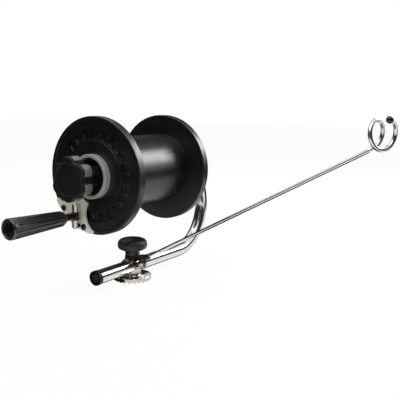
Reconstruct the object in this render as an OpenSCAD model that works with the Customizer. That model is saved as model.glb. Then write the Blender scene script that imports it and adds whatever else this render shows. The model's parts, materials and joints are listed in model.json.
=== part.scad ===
// Lake trolling spool: a flanged spool with a drag brake that turns on the upper leg of a bent tube,
// a clamp with a toothed rosette on the lower leg, and a swinging guide rod with a pigtail eye.
// Millimetres. Origin at the centre of the rosette's tooth tips, +Y along the spool axis towards
// the tube's bend, +X towards the guide rod, +Z up.

/* [Frame tube] */
// Outside diameter of the frame tube
tube_d = 20; // [16:0.5:22]
// Wall of the frame tube
tube_wall = 1.5; // [1:0.1:2.5]
// Height of the lower leg's centre line above the rosette's tooth tips
tube_z = 20; // [18:0.5:30]
// Distance between the centre lines of the two legs
leg_gap = 142; // [135:1:180]
// Distance of the bend's centre from the clamp, along the spool axis
bend_y = 113; // [100:1:160]
// Distance of the lower leg's open end from the clamp
front_y = 73; // [60:1:110]
// Thickness of the plastic cap's lip on the open end
cap_lip = 1.2; // [0.8:0.1:3]
// Length of the cap's plug inside the tube
cap_plug = 14; // [8:1:25]

/* [Spool] */
// Diameter of the flanges
flange_d = 160; // [140:1:170]
// Width over both flanges
spool_w = 160; // [140:1:170]
// Width of a flange's rim
rim_w = 12; // [9:0.5:16]
// Radial thickness of the rim
rim_t = 5; // [4:0.5:8]
// Rounding of the rim's edges
rim_round = 1; // [0.5:0.1:2.4]
// Diameter of the drum
drum_d = 102; // [90:1:110]
// Wall of the drum
drum_wall = 4; // [3:0.5:6]
// Fillet where the drum meets a flange
drum_fillet = 1.5; // [1:0.5:6]
// Step of the web behind the rim's face
web_step = 1.5; // [0.5:0.1:3]
// Number of pockets round a flange
pocket_count = 24; // [12:1:36]
// Inner radius of the pockets
pocket_in_r = 50; // [49:0.5:54]
// Outer radius of the pockets
pocket_out_r = 62; // [58:0.5:66]
// Depth of the pockets below the web
pocket_depth = 3; // [1:0.5:5]
// Width of the ribs between pockets
rib_w = 2; // [1:0.25:4]
// Wall of the plain bearing bushes
bush_wall = 3; // [2:0.5:5]
// Length of the bushes
bush_len = 24; // [15:1:35]
// Radial running clearance of bushes, pins and threads
running_gap = 0.05; // [0.02:0.01:0.09]
// Number of tie screws through the drum
tie_count = 4; // [3:1:6]
// Diameter of the tie screws
tie_d = 5; // [4:0.5:6]
// Radius of the circle of tie screws
tie_r = 34; // [30:0.5:36]
// Diameter of the line anchor hole in the drum
anchor_d = 4; // [2:0.5:6]
// Distance of the anchor hole from the spool's middle
anchor_y = 47; // [20:1:55]

/* [Brake] */
// Outside diameter of the brake cup
cup_d = 60; // [50:1:66]
// Wall of the brake cup
cup_wall = 4.5; // [3:0.5:7]
// How far the cup stands out of the flange
cup_proud = 9; // [4:0.5:14]
// Depth of the cup's seat in the flange
cup_seat = 7; // [4:0.5:9]
// Thickness of the cup's floor
cup_floor = 3; // [2:0.5:5]
// Thickness of the friction disc
friction_t = 3; // [2:0.5:4]
// Slack of the brake at the photographed setting
brake_slack = 0.4; // [0.2:0.1:1]
// Thickness of the pressure plate
plate_t = 3.5; // [2:0.5:5]
// Diameter of the brake stud
brake_stud_d = 10; // [8:0.5:12]
// Length of the pressure sleeve
sleeve_len = 22; // [14:1:30]
// Outside diameter of the pressure sleeve
sleeve_d = 30; // [24:1:36]
// Height of the stack of disc springs
spring_h = 4; // [3:0.5:6]
// Diameter of the brake knob over its lobes
brake_knob_d = 59; // [48:1:66]
// Number of lobes of the brake knob
brake_lobes = 6; // [5:1:8]
// Diameter of one lobe of the brake knob
lobe_d = 20; // [12:0.5:22]
// Diameter of the brake knob between its lobes
star_core_d = 48; // [40:0.5:54]
// Turn of the brake knob's lobes at rest
lobe_turn = -30; // [-30:1:30]
// Thickness of the knob's metal body
knob_body_t = 14; // [10:0.5:20]
// Thickness of the knob's black face cap
knob_cap_t = 5; // [3:0.5:7]

/* [Crank] */
// Angle of the crank plate from straight down, towards -X
crank_az = 31; // [0:1:60]
// Radial distance of the handle from the spool axis
crank_r = 62; // [58:0.5:64]
// Sideways distance of the handle from the plate's middle line
crank_v = -5.5; // [-8:0.5:8]
// Thickness of the crank plate
crank_plate_t = 2.5; // [1.5:0.5:4]
// Half width of the crank plate at the rim
plate_half_w = 39; // [34:1:46]
// Distance of the plate's inner end from the spool axis
plate_in_u = 37; // [34:0.5:42]
// Half width of the plate's neck
neck_half_w = 11; // [9:0.5:14]
// Sideways distance of the plate screws
plate_screw_v = 22; // [18:0.5:28]
// Distance of the plate screws from the flange's edge
plate_screw_in = 10; // [8:0.5:13]
// Turn of the hinge pin away from the plate's middle line
hinge_turn = -31; // [-40:1:0]
// Gap between the plate and the hinge knuckle
pin_lift = 1; // [0.5:0.25:5]
// Diameter of the hinge pin
pin_d = 5; // [4:0.5:6]
// Width of the knuckle between the hinge ears
knuckle_w = 11; // [8:0.5:14]
// Length of a hinge ear along the pin
ear_t = 10; // [6:0.5:11]
// Distance of the grip's root from the hinge pin
grip_root = 19; // [16:0.5:26]
// Length of the grip
grip_len = 93; // [70:1:110]
// Diameter of the grip at its root
grip_root_d = 21; // [18:0.5:24]
// Length of the taper at the grip's root
grip_taper = 8; // [3:0.5:14]
// Diameter of the grip at its free end
grip_end_d = 27.5; // [22:0.5:28]
// Number of lengthwise flutes on the grip
flute_count = 12; // [8:1:16]
// Depth of the flutes
flute_depth = 1; // [0.4:0.1:1.6]
// Diameter of the spindle inside the grip
spindle_d = 8; // [6:0.5:9]

/* [Clamp] */
// Diameter of the toothed rosette
rosette_d = 56; // [48:1:64]
// Thickness of the rosette's disc without its teeth
rosette_t = 4; // [3:0.5:6]
// Number of face teeth on the rosette
tooth_count = 24; // [18:1:36]
// Height of the face teeth
tooth_h = 3; // [2:0.25:4]
// Length of a face tooth, inwards from the rim
tooth_len = 9; // [6:0.5:12]
// Diameter of the clamp stud
stud_d = 8; // [6:0.5:9]
// Free length of the clamp stud under the rosette's disc
stud_free = 3; // [2:0.5:20]
// Width of the saddle along the tube
saddle_w = 26; // [20:1:34]
// Thickness of the saddle over the tube
saddle_t = 3; // [2:0.5:5]
// Thickness of the washer under the clamp knob, at its middle
washer_t = 3.4; // [2:0.1:5]
// How far the washer's edge reaches down beside the saddle's back
washer_drop = 3; // [1:0.5:5]
// Diameter of the clamp knob
clamp_knob_d = 43.5; // [36:0.5:50]
// Diameter of the clamp knob's stem
clamp_stem_d = 21.5; // [18:0.5:22]
// Length of the clamp knob's stem
clamp_stem_h = 9; // [6:0.5:14]
// Height of the clamp knob's head
clamp_head_h = 18.5; // [14:0.5:22]
// Depth of the finger scallops round the clamp knob
finger_depth = 0.7; // [0.3:0.1:2]

/* [Guide rod] */
// Diameter of the guide rod's wire
rod_d = 5; // [4:0.25:6]
// Distance of the swing pivot from the tube's centre line
pivot_x = 19; // [18:0.5:26]
// Height of the rod at the pivot above the tube's centre line
rod_rise = 12.5; // [12:0.5:16]
// Slope of the rod above the horizontal
rod_slope = 28.8; // [20:0.1:40]
// Straight length of the rod
rod_len = 361; // [250:1:420]
// Diameter of the pivot bolt
pivot_d = 6; // [5:0.5:6]
// Thickness of the saddle's ear
saddle_ear_t = 4; // [3:0.5:5]
// Radius of the pigtail loop, at the wire's centre
loop_r = 16.4; // [14:0.1:24]
// Advance of the pigtail in one turn
loop_pitch = 16.7; // [12:0.1:34]
// Turn of the pigtail's axis away from the rod's plane
loop_yaw = 20; // [0:1:30]
// Angle of the loop where the rod runs into it
loop_from = -71; // [-90:1:-50]
// Angle of the loop where the tip ball sits
loop_to = 440; // [380:1:450]
// Diameter of the tip ball
ball_d = 8.4; // [7.5:0.1:12]

/* [Hidden] */

$fn = 64;
eps = 0.01;
// Gap between seated pieces of one body, and between curved faces of two bodies
seat_gap = 0.05;
free_gap = 0.3;

tube_r = tube_d / 2;
axis_z = tube_z + leg_gap;
bend_r = leg_gap / 2;
half_w = spool_w / 2;
flange_r = flange_d / 2;
drum_r = drum_d / 2;
bush_r = tube_r + running_gap + bush_wall;
hub_r = bush_r + 5;
boss_r = pocket_in_r - 2;
tie_boss_h = 14;
// Depth of the tie screws' head seats, and reach of their holes past the ends of their bosses
tie_seat = 6;
tie_hole = rim_w + 2 * tie_boss_h;

// Stations along the spool axis, from the flange face outwards
cup_r = cup_d / 2;
cup_back_y = -half_w + cup_seat;
cup_face_y = cup_back_y - cup_floor;
friction_y = cup_face_y - friction_t;
press_back_y = friction_y - brake_slack;
press_front_y = press_back_y - plate_t;
axle_end_y = friction_y - 1;
plug_head_t = 2.5;
sleeve_back_y = press_front_y;
sleeve_front_y = sleeve_back_y - sleeve_len;
knob_back_y = sleeve_front_y - spring_h;
knob_body_y = knob_back_y - knob_body_t;
knob_face_y = knob_body_y - knob_cap_t;
insert_len = knob_body_t - 2;
insert_r = 9;
lobe_r = lobe_d / 2;
lobe_at = brake_knob_d / 2 - lobe_r;
face_dish_r = star_core_d / 2 - 2.5;
face_dish = 0.8;
cup_bore_r = cup_r - cup_wall;
cup_screw_at = (tube_r + cup_bore_r) / 2 + 1;
cup_screw_count = 3;
// How far the cup screws reach into the flange
cup_screw_deep = 8;

// Crank
knuckle_r = pin_d / 2 + 2.3;
pin_h = crank_plate_t + knuckle_r + pin_lift;
neck_r = spindle_d / 2 + 1;
grip_from = pin_h + grip_root;
grip_to = grip_from + grip_len;
end_recess = 7;
end_recess_r = grip_end_d / 2 - 3.5;
spindle_to = grip_to - end_recess;
grip_washer_t = 1.2;
grip_screw_d = 4;
plate_screw_d = 5;
plate_screw_u = flange_r - plate_screw_in;
ear_r = knuckle_r;

// Clamp
saddle_top_z = tube_z + tube_r + saddle_t;
washer_top_z = saddle_top_z + washer_t;
stem_top_z = washer_top_z + clamp_stem_h;
clamp_top_z = stem_top_z + clamp_head_h;
clamp_insert_r = 6.5;
clamp_insert_h = clamp_stem_h + 6;
rosette_r = rosette_d / 2;
rosette_top_z = tooth_h + rosette_t;
boss_half = 13;
// Flat on a tooth's tip at the rim, and the grooves' depth there
tooth_flat = 1;
groove_depth = tooth_h - 0.2;
stud_hole_r = stud_d / 2 + 0.2;
// The stud's shank above its free end is turned down
shank_r = stud_d / 2 - 0.5;
finger_r = 12;

// Guide rod
pivot_z = tube_z + rod_rise;
socket_r = rod_d / 2 + 1.7;
swivel_half = socket_r - 0.2;
ear_top_z = pivot_z - swivel_half - free_gap;
swivel_r = pivot_d / 2 + 3;
swivel_top_z = pivot_z + swivel_half;
socket_len = 15;
bolt_head_r = pivot_d / 2 + 1.5;
// The rod starts clear of the pivot bolt's head
rod_seat = (bolt_head_r + free_gap + rod_d / 2 * sin(rod_slope)) / cos(rod_slope);
rod_dir = [cos(rod_slope), 0, sin(rod_slope)];
pivot_p = [pivot_x, 0, pivot_z];
rod_from = pivot_p + rod_seat * rod_dir;
rod_to = pivot_p + rod_len * rod_dir;
// The loop's own axes: along it, sideways and up
loop_axis = [cos(loop_yaw), -sin(loop_yaw), 0];
loop_side = [sin(loop_yaw), cos(loop_yaw), 0];
// Steps from the end of the straight rod to the start of the pigtail's loop
loop_ahead = 11.5;
loop_aside = 3.2;
loop_lift = 7.6;
loop_start = rod_to + [loop_ahead, loop_aside, loop_lift];
wire_sides = 10;
loop_step = 12;
blend_steps = 5;
blend_pull = 6;
tip_straight = ball_d / 2;

function unit(v) = v / norm(v);
function loop_offset(t) =
    loop_axis * loop_pitch * t / 360 + loop_r * (cos(t) * loop_side + sin(t) * [0, 0, 1]);
function loop_point(t) = loop_start + loop_offset(t) - loop_offset(loop_from);
function loop_tangent(t) =
    unit(loop_axis * loop_pitch / (2 * PI) + loop_r * (-sin(t) * loop_side + cos(t) * [0, 0, 1]));
function bezier(a, b, c, d, t) =
    a * pow(1 - t, 3) + 3 * b * t * pow(1 - t, 2) + 3 * c * t * t * (1 - t) + d * pow(t, 3);

tip_dir = loop_tangent(loop_to);
tip_centre = loop_point(loop_to) + tip_straight * tip_dir;
wire_path = concat(
    [rod_from],
    [for (i = [0 : blend_steps - 1])
        bezier(rod_to, rod_to + blend_pull * rod_dir,
               loop_start - blend_pull * loop_tangent(loop_from), loop_start, i / blend_steps)],
    [for (t = [loop_from : loop_step : loop_to - loop_step / 2]) loop_point(t)],
    [loop_point(loop_to), tip_centre]);

// Direction of the path at point i, and a side vector carried along without twist
function path_dir(p, i) = unit(p[min(i + 1, len(p) - 1)] - p[max(i - 1, 0)]);
function carried(n, t) = unit(n - (n * t) * t);
function side_vectors(p, i = 0, n = [0, 1, 0], out = []) =
    i == len(p) ? out
    : let (s = carried(n, path_dir(p, i))) side_vectors(p, i + 1, s, concat(out, [s]));

// A round wire swept along a list of points
module wire(p, d, sides) {
    s = side_vectors(p);
    rings = [for (i = [0 : len(p) - 1])
        let (b = cross(path_dir(p, i), s[i]))
        for (k = [0 : sides - 1])
            p[i] + d / 2 * (cos(360 * k / sides) * s[i] + sin(360 * k / sides) * b)];
    last = (len(p) - 1) * sides;
    walls = [for (i = [0 : len(p) - 2]) for (k = [0 : sides - 1])
        let (a = i * sides + k, b = i * sides + (k + 1) % sides)
        each [[a, b + sides, b], [a, a + sides, b + sides]]];
    caps = [[for (k = [0 : sides - 1]) k], [for (k = [sides - 1 : -1 : 0]) last + k]];
    polyhedron(rings, concat(walls, caps));
}

// Spool frame: local Z runs along world +Y, local Y points down
module on_spool() {
    translate([0, 0, axis_z]) rotate([-90, 0, 0]) children();
}

// Crank frame: X radial, Y tangential, Z the height above the near flange's face
module on_crank() {
    on_spool() rotate([0, 0, 90 + crank_az]) translate([0, 0, -half_w]) mirror([0, 0, 1]) children();
}

// Handle frame: its origin in line with the handle, X along the hinge pin, Z as in the crank frame
module on_handle() {
    on_crank() translate([crank_r, crank_v, 0]) rotate([0, 0, hinge_turn]) children();
}

// A ring between two stations along local Z
module ring(r_in, r_out, z0, z1) {
    difference() {
        translate([0, 0, z0]) cylinder(r = r_out, h = z1 - z0);
        translate([0, 0, z0 - 1]) cylinder(r = r_in, h = z1 - z0 + 2);
    }
}

module rod_z(r, z0, z1) {
    translate([0, 0, z0]) cylinder(r = r, h = z1 - z0);
}

module rounded_box(x, y, w, h, r) {
    translate([x + r, y]) square([w - 2 * r, h]);
    translate([x, y + r]) square([w, h - 2 * r]);
    for (cx = [x + r, x + w - r])
        for (cy = [y + r, y + h - r])
            translate([cx, cy]) circle(r);
}

// Frame

module tube_solid(r, extra) {
    translate([0, bend_y, tube_z]) rotate([90, 0, 0]) cylinder(r = r, h = bend_y + front_y + extra);
    translate([0, bend_y, axis_z]) rotate([90, 0, 0]) cylinder(r = r, h = bend_y - axle_end_y + extra);
    translate([0, bend_y, tube_z + bend_r]) rotate([0, 90, 0])
        rotate_extrude(angle = 180) translate([bend_r, 0]) circle(r);
}

module frame_tube() {
    color("silver") difference() {
        tube_solid(tube_r, 0);
        tube_solid(tube_r - tube_wall, 1);
        translate([0, 0, tube_z - tube_d]) cylinder(r = stud_hole_r, h = 2 * tube_d);
    }
}

module tube_end_cap() {
    cap_r = tube_r + 0.6;
    soft = 0.4;
    plug_r = tube_r - tube_wall - seat_gap;
    color("black") translate([0, -front_y, tube_z]) rotate([-90, 0, 0]) difference() {
        union() {
            translate([0, 0, -cap_lip]) cylinder(r1 = cap_r - soft, r2 = cap_r, h = soft);
            rod_z(cap_r, soft - cap_lip, 0);
            rod_z(plug_r, -eps, cap_plug);
        }
        rod_z(plug_r - 2, 1, cap_plug + 1);
    }
}

// A V groove along +X that starts at the axis and deepens outwards, so that the teeth between
// such grooves taper towards the centre
module tooth_groove() {
    half_pitch = PI * rosette_r / tooth_count;
    flank = (half_pitch - tooth_flat / 2) / groove_depth;
    open_h = 2 * tooth_h;
    rotate([0, -atan(groove_depth / rosette_r), 0]) rotate([90, 0, 90]) linear_extrude(1.5 * rosette_r)
        polygon([[0, 0], [-open_h * flank, -open_h], [open_h * flank, -open_h]]);
}

module rosette() {
    boss_top = tube_z - 2;
    color("silver") difference() {
        union() {
            difference() {
                ring(rosette_r - tooth_len, rosette_r, 0, tooth_h + eps);
                for (i = [0 : tooth_count - 1])
                    rotate([0, 0, 360 * (i + 0.5) / tooth_count]) tooth_groove();
            }
            rod_z(rosette_r, tooth_h, rosette_top_z);
            rod_z(boss_half, rosette_top_z - 1, boss_top);
        }
        translate([0, rosette_d, tube_z]) rotate([90, 0, 0])
            cylinder(r = tube_r + seat_gap, h = 2 * rosette_d);
        translate([0, 0, -1]) cylinder(r = stud_hole_r, h = tube_z);
    }
}

module clamp_saddle() {
    side = tube_r + saddle_t;
    ear_z = ear_top_z - saddle_ear_t;
    color("silver") difference() {
        union() {
            intersection() {
                translate([0, saddle_w / 2, tube_z]) rotate([90, 0, 0]) cylinder(r = side, h = saddle_w);
                translate([-side, -saddle_w, tube_z]) cube([2 * side, 2 * saddle_w, side]);
            }
            translate([0, -swivel_r - 1, ear_z]) cube([pivot_x, 2 * swivel_r + 2, saddle_ear_t]);
            translate([pivot_x, 0, ear_z]) cylinder(r = swivel_r + 1, h = saddle_ear_t);
        }
        translate([0, saddle_w, tube_z]) rotate([90, 0, 0])
            cylinder(r = tube_r + seat_gap, h = 2 * saddle_w);
        translate([0, 0, tube_z]) cylinder(r = stud_hole_r, h = 2 * tube_d);
        translate([pivot_x, 0, ear_z - 1]) cylinder(r = pivot_d / 2 + seat_gap, h = saddle_ear_t + 2);
    }
}

module clamp_stud() {
    color("silver") union() {
        rod_z(stud_d / 2, tooth_h - stud_free, tooth_h);
        rod_z(shank_r, tooth_h - eps, washer_top_z + clamp_insert_h - 2);
    }
}

// The washer's underside is hollow and sits on the saddle's back
module clamp_washer() {
    stem_r = clamp_stem_d / 2;
    low_z = saddle_top_z - washer_drop;
    color("black") difference() {
        translate([0, 0, low_z]) cylinder(r1 = stem_r + 1, r2 = stem_r + 0.3, h = washer_top_z - low_z);
        translate([0, saddle_w, tube_z]) rotate([90, 0, 0])
            cylinder(r = tube_r + saddle_t + seat_gap, h = 2 * saddle_w);
        rod_z(stud_hole_r, tube_z, washer_top_z + 1);
    }
}

module pivot_bolt() {
    color("dimgray") translate([pivot_x, 0, 0]) union() {
        rod_z(pivot_d / 2, ear_top_z - saddle_ear_t - 6, swivel_top_z + 1);
        rod_z(bolt_head_r, swivel_top_z + free_gap, swivel_top_z + 2.8);
    }
}

module pivot_nut() {
    nut_top = ear_top_z - saddle_ear_t;
    color("silver") translate([pivot_x, 0, nut_top - 5]) difference() {
        cylinder(r = pivot_d / 2 + 2.8, h = 5, $fn = 6);
        translate([0, 0, -1]) cylinder(r = pivot_d / 2 + seat_gap, h = 7);
    }
}

module axle_plug() {
    color("dimgray") on_spool() difference() {
        union() {
            rod_z(tube_r - tube_wall - seat_gap, axle_end_y, axle_end_y + 26);
            rod_z(tube_r, axle_end_y - plug_head_t, axle_end_y);
        }
        translate([0, 0, axle_end_y - plug_head_t - 1])
            cylinder(r = brake_stud_d / 2 + seat_gap, h = 24);
    }
}

module brake_stud() {
    color("silver") on_spool() rod_z(brake_stud_d / 2, knob_back_y - insert_len + 1, axle_end_y + 20);
}

module rear_collar() {
    y0 = half_w + 0.5;
    color("silver") on_spool() difference() {
        ring(tube_r + seat_gap, tube_r + 6, y0, y0 + 11);
        translate([0, 0, y0 + 5.5]) rotate([0, 90, 0]) cylinder(r = 2.5, h = tube_d);
    }
}

module collar_screw() {
    y0 = half_w + 6;
    color("dimgray") on_spool() translate([0, 0, y0]) rotate([0, 90, 0])
        rod_z(2.5 - seat_gap, tube_r + seat_gap, tube_r + 5);
}

// Spool

module drum_fillet_ring() {
    rotate_extrude() difference() {
        translate([drum_r - 1, 0]) square([drum_fillet + 1, drum_fillet]);
        translate([drum_r + drum_fillet, drum_fillet]) circle(drum_fillet);
    }
}

module drum() {
    half_drum = half_w - rim_w;
    color("black") on_spool() difference() {
        union() {
            rod_z(drum_r, -half_drum, half_drum);
            translate([0, 0, -half_drum]) drum_fillet_ring();
            mirror([0, 0, 1]) translate([0, 0, -half_drum]) drum_fillet_ring();
        }
        translate([0, 0, -half_drum - 1]) cylinder(r = drum_r - drum_wall, h = 2 * half_drum + 2);
        translate([0, 0, anchor_y]) rotate([0, 0, -33]) rotate([0, 90, 0])
            cylinder(d = anchor_d, h = drum_d);
    }
}

// A flange with its outer face at local Z = 0 and its drum side towards +Z
module flange_blank() {
    spigot_r = drum_r - drum_wall - 2 * seat_gap;
    difference() {
        union() {
            rotate_extrude() {
                translate([bush_r, web_step])
                    square([flange_r - rim_t / 2 - bush_r, rim_w - web_step]);
                translate([bush_r, 0]) square([boss_r - bush_r, rim_w]);
                rounded_box(flange_r - rim_t, 0, rim_t, rim_w, rim_round);
                translate([bush_r, rim_w - 1]) square([hub_r - bush_r, bush_len - rim_w + 1]);
                translate([spigot_r - 3, rim_w - 1]) square([3, 7]);
            }
            for (i = [0 : tie_count - 1])
                rotate([0, 0, 45 + 360 * i / tie_count]) translate([tie_r, 0, rim_w - 1])
                    cylinder(d = tie_d + 5, h = tie_boss_h + 1);
        }
        translate([0, 0, -1]) linear_extrude(1 + web_step + pocket_depth) difference() {
            circle(pocket_out_r);
            circle(pocket_in_r);
            for (i = [0 : pocket_count - 1])
                rotate(360 * (i + 0.5) / pocket_count) translate([0, -rib_w / 2]) square([flange_r, rib_w]);
        }
    }
}

module near_flange() {
    color([0.08, 0.08, 0.08]) difference() {
        union() {
            on_spool() translate([0, 0, -half_w]) flange_blank();
            for (side = [-1, 1])
                on_crank() translate([plate_screw_u, side * plate_screw_v, -rim_w + 1])
                    cylinder(r = plate_screw_d, h = rim_w - 1);
        }
        on_spool() translate([0, 0, -half_w - 1]) cylinder(r = cup_r + seat_gap, h = cup_seat + 1);
        on_spool() for (i = [0 : tie_count - 1])
            rotate([0, 0, 45 + 360 * i / tie_count]) translate([tie_r, 0, -half_w + 4])
                cylinder(r = tie_d / 2 + seat_gap, h = tie_hole);
        on_spool() for (i = [0 : cup_screw_count - 1])
            rotate([0, 0, 360 * i / cup_screw_count + 30])
                translate([cup_screw_at, 0, cup_back_y - 1]) cylinder(r = 2, h = cup_screw_deep + 2);
        for (side = [-1, 1])
            on_crank() translate([plate_screw_u, side * plate_screw_v, -rim_w + 3])
                cylinder(r = plate_screw_d / 2 - 0.4, h = rim_w);
    }
}

module far_flange() {
    head_d = tie_d + 4;
    color([0.08, 0.08, 0.08]) on_spool() difference() {
        translate([0, 0, half_w]) mirror([0, 0, 1]) flange_blank();
        for (i = [0 : tie_count - 1])
            rotate([0, 0, 45 + 360 * i / tie_count]) translate([tie_r, 0, 0]) {
                translate([0, 0, half_w - tie_hole]) cylinder(r = tie_d / 2 + seat_gap, h = tie_hole + 1);
                translate([0, 0, half_w - tie_seat]) cylinder(r = head_d / 2 + 0.4, h = tie_seat + 1);
            }
    }
}

module tie_screws() {
    head_d = tie_d + 4;
    color("dimgray") on_spool() for (i = [0 : tie_count - 1])
        rotate([0, 0, 45 + 360 * i / tie_count]) translate([tie_r, 0, 0]) difference() {
            union() {
                rod_z(tie_d / 2, -half_w + 6, half_w - tie_seat);
                rod_z(head_d / 2, half_w - tie_seat, half_w - 1.5);
            }
            translate([0, 0, half_w - 4]) cylinder(d = tie_d - 0.5, h = 4, $fn = 6);
        }
}

// A plain bearing between the tube and a flange's hub, with a collar on the drum side
module bush() {
    ring(tube_r + running_gap, bush_r - seat_gap, cup_seat + 0.5, bush_len);
    ring(tube_r + running_gap, bush_r + 2.5, bush_len, bush_len + 3);
}

module near_bush() {
    color("ivory") on_spool() translate([0, 0, -half_w]) bush();
}

module far_bush() {
    color("ivory") on_spool() translate([0, 0, half_w]) mirror([0, 0, 1]) bush();
}

// Brake

module brake_cup() {
    front = -half_w - cup_proud;
    color([0.6, 0.6, 0.58]) on_spool() difference() {
        union() {
            rod_z(cup_r, front + 0.8, cup_back_y);
            translate([0, 0, front]) cylinder(r1 = cup_r - 0.8, r2 = cup_r, h = 0.8);
        }
        translate([0, 0, front - 1]) cylinder(r = cup_bore_r, h = cup_face_y - front + 1);
        translate([0, 0, cup_face_y - 1]) cylinder(r = tube_r + 1, h = cup_floor + 2);
        for (i = [0 : cup_screw_count - 1])
            rotate([0, 0, 360 * i / cup_screw_count + 30]) translate([cup_screw_at, 0, cup_face_y]) {
                translate([0, 0, -1]) cylinder(r = 2.2, h = cup_floor + 2);
                translate([0, 0, -eps]) cylinder(r1 = 4.2, r2 = 2.2, h = 2);
            }
    }
}

module cup_screws() {
    color("silver") on_spool() for (i = [0 : cup_screw_count - 1])
        rotate([0, 0, 360 * i / cup_screw_count + 30]) translate([cup_screw_at, 0, cup_face_y]) union() {
            translate([0, 0, 0.05]) cylinder(r1 = 4, r2 = 2, h = 2);
            rod_z(1.9, 1, cup_floor + cup_screw_deep);
        }
}

module friction_disc() {
    color([0.25, 0.2, 0.17]) on_spool()
        ring(tube_r + 1, cup_bore_r - 0.5, friction_y, cup_face_y);
}

module pressure_plate() {
    color("dimgray") on_spool()
        ring(tube_r + 0.3, cup_bore_r - 2, press_front_y, press_back_y);
}

module pressure_sleeve() {
    deep = plug_head_t + 3;
    color([0.1, 0.1, 0.1]) on_spool() difference() {
        rod_z(sleeve_d / 2, sleeve_front_y, sleeve_back_y);
        translate([0, 0, sleeve_front_y - 1])
            cylinder(r = brake_stud_d / 2 + free_gap, h = sleeve_len + 2);
        translate([0, 0, sleeve_back_y - deep]) cylinder(r = tube_r + 0.3, h = deep + 1);
        for (i = [0 : 5])
            rotate([0, 0, 60 * i]) translate([sleeve_d / 2, 0, sleeve_front_y - 1])
                cylinder(r = 3, h = sleeve_len - 6);
    }
}

// Two cupped spring washers, rim to rim
module disc_springs() {
    half = spring_h / 2;
    bore_r = brake_stud_d / 2 + free_gap;
    rim_r = sleeve_d / 2 - 3;
    color("silver") on_spool() translate([0, 0, knob_back_y]) rotate_extrude()
        polygon([[bore_r, 0], [rim_r, half - 0.8], [rim_r, half + 0.8], [bore_r, spring_h],
                 [bore_r, spring_h - 1], [rim_r - 2, half], [bore_r, 1]]);
}

// The lobed outline of the brake knob, grown or shrunk by g
module star(g) {
    circle(star_core_d / 2 + g);
    for (i = [0 : brake_lobes - 1])
        rotate(lobe_turn + 360 * i / brake_lobes) translate([lobe_at, 0]) circle(lobe_r + g);
}

module brake_knob() {
    color([0.62, 0.62, 0.6]) on_spool() difference() {
        union() {
            translate([0, 0, knob_body_y]) linear_extrude(knob_body_t - 1) star(0);
            translate([0, 0, knob_back_y - 1]) linear_extrude(1) star(-1);
        }
        translate([0, 0, knob_back_y - insert_len - 0.5]) cylinder(r = insert_r, h = insert_len + 2);
    }
}

module brake_knob_insert() {
    color("goldenrod") on_spool() difference() {
        rod_z(insert_r - seat_gap, knob_back_y - insert_len, knob_back_y);
        translate([0, 0, knob_back_y - insert_len - 1])
            cylinder(r = brake_stud_d / 2 + running_gap, h = insert_len + 2);
    }
}

module brake_knob_cap() {
    color([0.1, 0.1, 0.1]) on_spool() difference() {
        union() {
            translate([0, 0, knob_face_y + 1]) linear_extrude(knob_cap_t - 1) star(0.4);
            translate([0, 0, knob_face_y]) linear_extrude(1) star(-0.6);
        }
        translate([0, 0, knob_face_y - 1]) cylinder(r = face_dish_r, h = 1 + face_dish);
    }
}

// Crank

module crank_outline() {
    reach = flange_r - 0.5;
    // Circles that hollow the two sides, from the neck out to the wings
    side_u = plate_in_u + 1;
    hollow_r = plate_screw_u - side_u - plate_screw_d;
    difference() {
        intersection() {
            circle(reach, $fn = 128);
            translate([plate_in_u, -plate_half_w]) square([flange_r, 2 * plate_half_w]);
        }
        for (side = [-1, 1])
            translate([side_u, side * (neck_half_w + hollow_r)]) circle(hollow_r);
    }
}

// A hinge ear from the plate up to a round back about the pin, from x outwards along the pin
module hinge_ear(x) {
    translate([x, 0, 0]) rotate([0, 90, 0]) {
        translate([-pin_h, 0, 0]) cylinder(r = ear_r, h = ear_t);
        translate([-pin_h, -ear_r, 0]) cube([pin_h - crank_plate_t / 2, 2 * ear_r, ear_t]);
    }
}

module crank_plate() {
    half_knuckle = knuckle_w / 2 + free_gap;
    color([0.8, 0.78, 0.72]) difference() {
        union() {
            on_crank() linear_extrude(crank_plate_t) crank_outline();
            on_handle() hinge_ear(half_knuckle);
            on_handle() hinge_ear(-half_knuckle - ear_t);
        }
        on_handle() translate([-flange_r, 0, pin_h]) rotate([0, 90, 0])
            cylinder(r = pin_d / 2 + seat_gap, h = flange_d);
        for (side = [-1, 1])
            on_crank() translate([plate_screw_u, side * plate_screw_v, -1])
                cylinder(r = plate_screw_d / 2 + 0.25, h = crank_plate_t + 2);
    }
}

module plate_screws() {
    color("silver") on_crank() for (side = [-1, 1])
        translate([plate_screw_u, side * plate_screw_v, 0]) difference() {
            union() {
                rod_z(plate_screw_d / 2 - 0.5, -rim_w + 4, crank_plate_t + 1);
                intersection() {
                    rod_z(plate_screw_d * 0.9, crank_plate_t, crank_plate_t + 2.4);
                    translate([0, 0, crank_plate_t - 6.5]) sphere(r = 9);
                }
            }
            translate([-plate_screw_d, -0.6, crank_plate_t + 1.4]) cube([2 * plate_screw_d, 1.2, 2]);
        }
}

module hinge_pin() {
    span = knuckle_w + 2 * (free_gap + ear_t);
    color("silver") on_handle() translate([-span / 2, 0, pin_h]) rotate([0, 90, 0]) union() {
        rod_z(pin_d / 2, -1, span + 1);
        rod_z(pin_d / 2 + 1.5, -2, 0);
        rod_z(pin_d / 2 + 1.5, span, span + 2);
    }
}

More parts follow.
